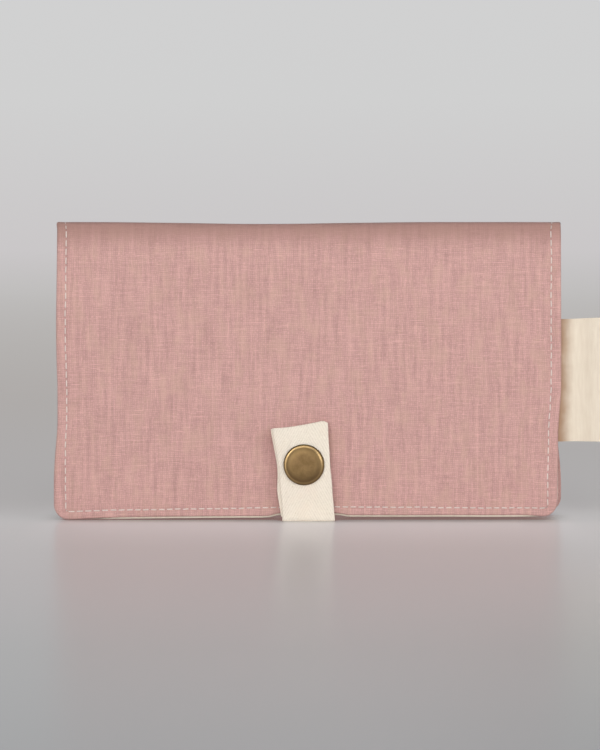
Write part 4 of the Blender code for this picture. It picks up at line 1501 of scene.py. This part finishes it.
def open_sky(s, reach):
    """Share of the sky that nothing hides within reach."""
    node = s.node("AmbientOcclusion", samples=SKY_SAMPLES)
    node.inputs["Distance"].default_value = reach
    return node.outputs["AO"]


def make_floor():
    mesh = bmesh.new()
    bmesh.ops.create_circle(mesh, cap_ends=True, radius=FLOOR_RADIUS, segments=FLOOR_SEGMENTS)
    floor = finish_mesh("floor", mesh, False)
    s = Shader("floor_paper")
    x, y, _ = s.split(s.node("NewGeometry").outputs["Position"])
    off_x, off_y = s.math("ABSOLUTE", x), s.math("ABSOLUTE", y)
    corner = s.times(s.band(x, *RIGHT_SHADE), s.band(y, *RIGHT_SHADE_BACK))
    colour = s.tint(ramp(s, y, FLOOR_STOPS), corner, s.band(y, *RIGHT_SHADE_FRONT), BLACK)
    near = open_sky(s, NEAR_REACH)
    wide = open_sky(s, WIDE_REACH)
    at_strap = s.times(s.band(off_x, *STRAP_SIDES), s.band(y, *STRAP_FRONT))
    open_air = s.times(s.band(near, *NEAR_OPEN), s.band(wide, *WIDE_OPEN))
    open_air = s.math("MAXIMUM", open_air, s.times(at_strap, STRAP_OPEN))
    mirror = s.math("MAXIMUM", s.band(near, *MIRROR), s.times(at_strap, s.band(y, *STRAP_MIRROR)))
    bounce = s.times(s.band(off_x, *BOUNCE_ENDS), s.math("SUBTRACT", 1.0, wide))
    colour = s.mix(bounce, colour, FLOOR_BOUNCE, "ADD")
    s.surface(s.mix(open_air, CONTACT_SHADE, FLOOR_WHITE), FLOOR_ROUGHNESS)
    s.join(mirror, s.bsdf.inputs["Specular IOR Level"])
    beside = s.math("MAXIMUM", s.math("SUBTRACT", off_x, HALF_WIDTH), 0.0)
    before = s.math("MAXIMUM", s.math("SUBTRACT", off_y, FOOT_DEPTH / 2), 0.0)
    away = s.math("SQRT", s.math("ADD", s.times(beside, beside), s.times(before, before)))
    share = s.math("ADD", s.band(away, *NEAR_GLOW), s.band(away, *FAR_GLOW))
    seen_glow(s, s.mix(open_air, INSIDE_GLOW, colour), s.mix_value(open_air, 0.5, share))
    floor.data.materials.append(s.material)
    floor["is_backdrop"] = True


def make_wall():
    mesh = bmesh.new()
    rows = []
    for z in (WALL_BOTTOM, WALL_HEIGHT):
        row = []
        for angle in turns(WALL_SEGMENTS):
            point = (WALL_RADIUS * math.cos(angle), WALL_RADIUS * math.sin(angle), z)
            row.append((mesh.verts.new(point),))
        rows.append(row)
    skin_rows(mesh, None, rows, True)
    wall = finish_mesh("backdrop", mesh)
    s = Shader("backdrop_paper")
    height = s.split(s.node("NewGeometry").outputs["Position"])[2]
    seen_glow(s, ramp(s, height, WALL_STOPS), 1.0)
    wall.data.materials.append(s.material)
    wall.visible_diffuse = False
    wall.visible_shadow = False
    wall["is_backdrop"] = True


WALL_GLOW = 0.54
CEILING_GLOW = 0.05
ROOM_COLOUR = (0.93, 0.95, 1.0, 1.0)
LIGHT_AIM = Vector((0, 0, 0.06))

# Soft boxes as (name, place, width, height, power, colour)
BOXES = (
    ("front_box", (-0.30, -1.60, 0.34), 1.4, 0.6, 13.9, (1.0, 0.985, 0.96)),
    ("high_box", (-0.05, -0.80, 0.90), 0.7, 0.3, 1.6, (1.0, 0.97, 0.92)),
    ("right_box", (1.15, -1.0, 0.45), 0.7, 0.6, 6.0, (1, 1, 1)),
    ("rear_box", (0.5, 1.7, 0.6), 1.4, 0.6, 6.0, (1, 1, 1)),
)


def make_light():
    """A wide box in front, small ones beside and behind, and a room darker towards its ceiling."""
    world = bpy.data.worlds.new("soft_room")
    world.use_nodes = True
    nodes, links = world.node_tree.nodes, world.node_tree.links
    place = nodes.new("ShaderNodeTexCoord")
    split = nodes.new("ShaderNodeSeparateXYZ")
    fade = nodes.new("ShaderNodeMapRange")
    links.new(place.outputs["Generated"], split.inputs[0])
    links.new(split.outputs[2], fade.inputs["Value"])
    fade.inputs["To Min"].default_value = WALL_GLOW
    fade.inputs["To Max"].default_value = CEILING_GLOW
    links.new(fade.outputs[0], nodes["Background"].inputs["Strength"])
    nodes["Background"].inputs["Color"].default_value = ROOM_COLOUR
    bpy.context.scene.world = world
    for name, place, width, height, power, colour in BOXES:
        data = bpy.data.lights.new(name, "AREA")
        data.shape = "RECTANGLE"
        data.size = width
        data.size_y = height
        data.energy = power
        data.color = colour
        lamp = add_object(name, data)
        lamp.location = place
        lamp.rotation_euler = (LIGHT_AIM - Vector(place)).to_track_quat("-Z", "Y").to_euler()
        lamp.visible_glossy = name != "rear_box"


PIXEL = 0.4163 * MM
SENSOR = 36.0
PHOTO_HEIGHT = 750
CAMERA_RISE = math.radians(4.0)
CAMERA_RANGE = 1.0
CAMERA_AIM = Vector((-8.5 * PIXEL, -0.0065, 0.0604))


def make_camera():
    data = bpy.data.cameras.new("camera")
    data.sensor_width = SENSOR
    data.lens = CAMERA_RANGE * SENSOR / (PHOTO_HEIGHT * PIXEL)
    camera = add_object("camera", data)
    back = Vector((0, -math.cos(CAMERA_RISE), math.sin(CAMERA_RISE)))
    camera.location = CAMERA_AIM + back * CAMERA_RANGE
    camera.rotation_euler = (-back).to_track_quat("-Z", "Y").to_euler()
    bpy.context.scene.camera = camera


make_cloths()
make_seams()
make_strap()
make_snap()
make_label()
make_padding()
declare_cloths()
make_floor()
make_wall()
make_light()
make_camera()
bpy.context.scene.view_settings.view_transform = "Standard"

boxes = {"cad": cad_box, "visual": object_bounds()}
{name: [list(corner) for corner in box] for name, box in boxes.items()}
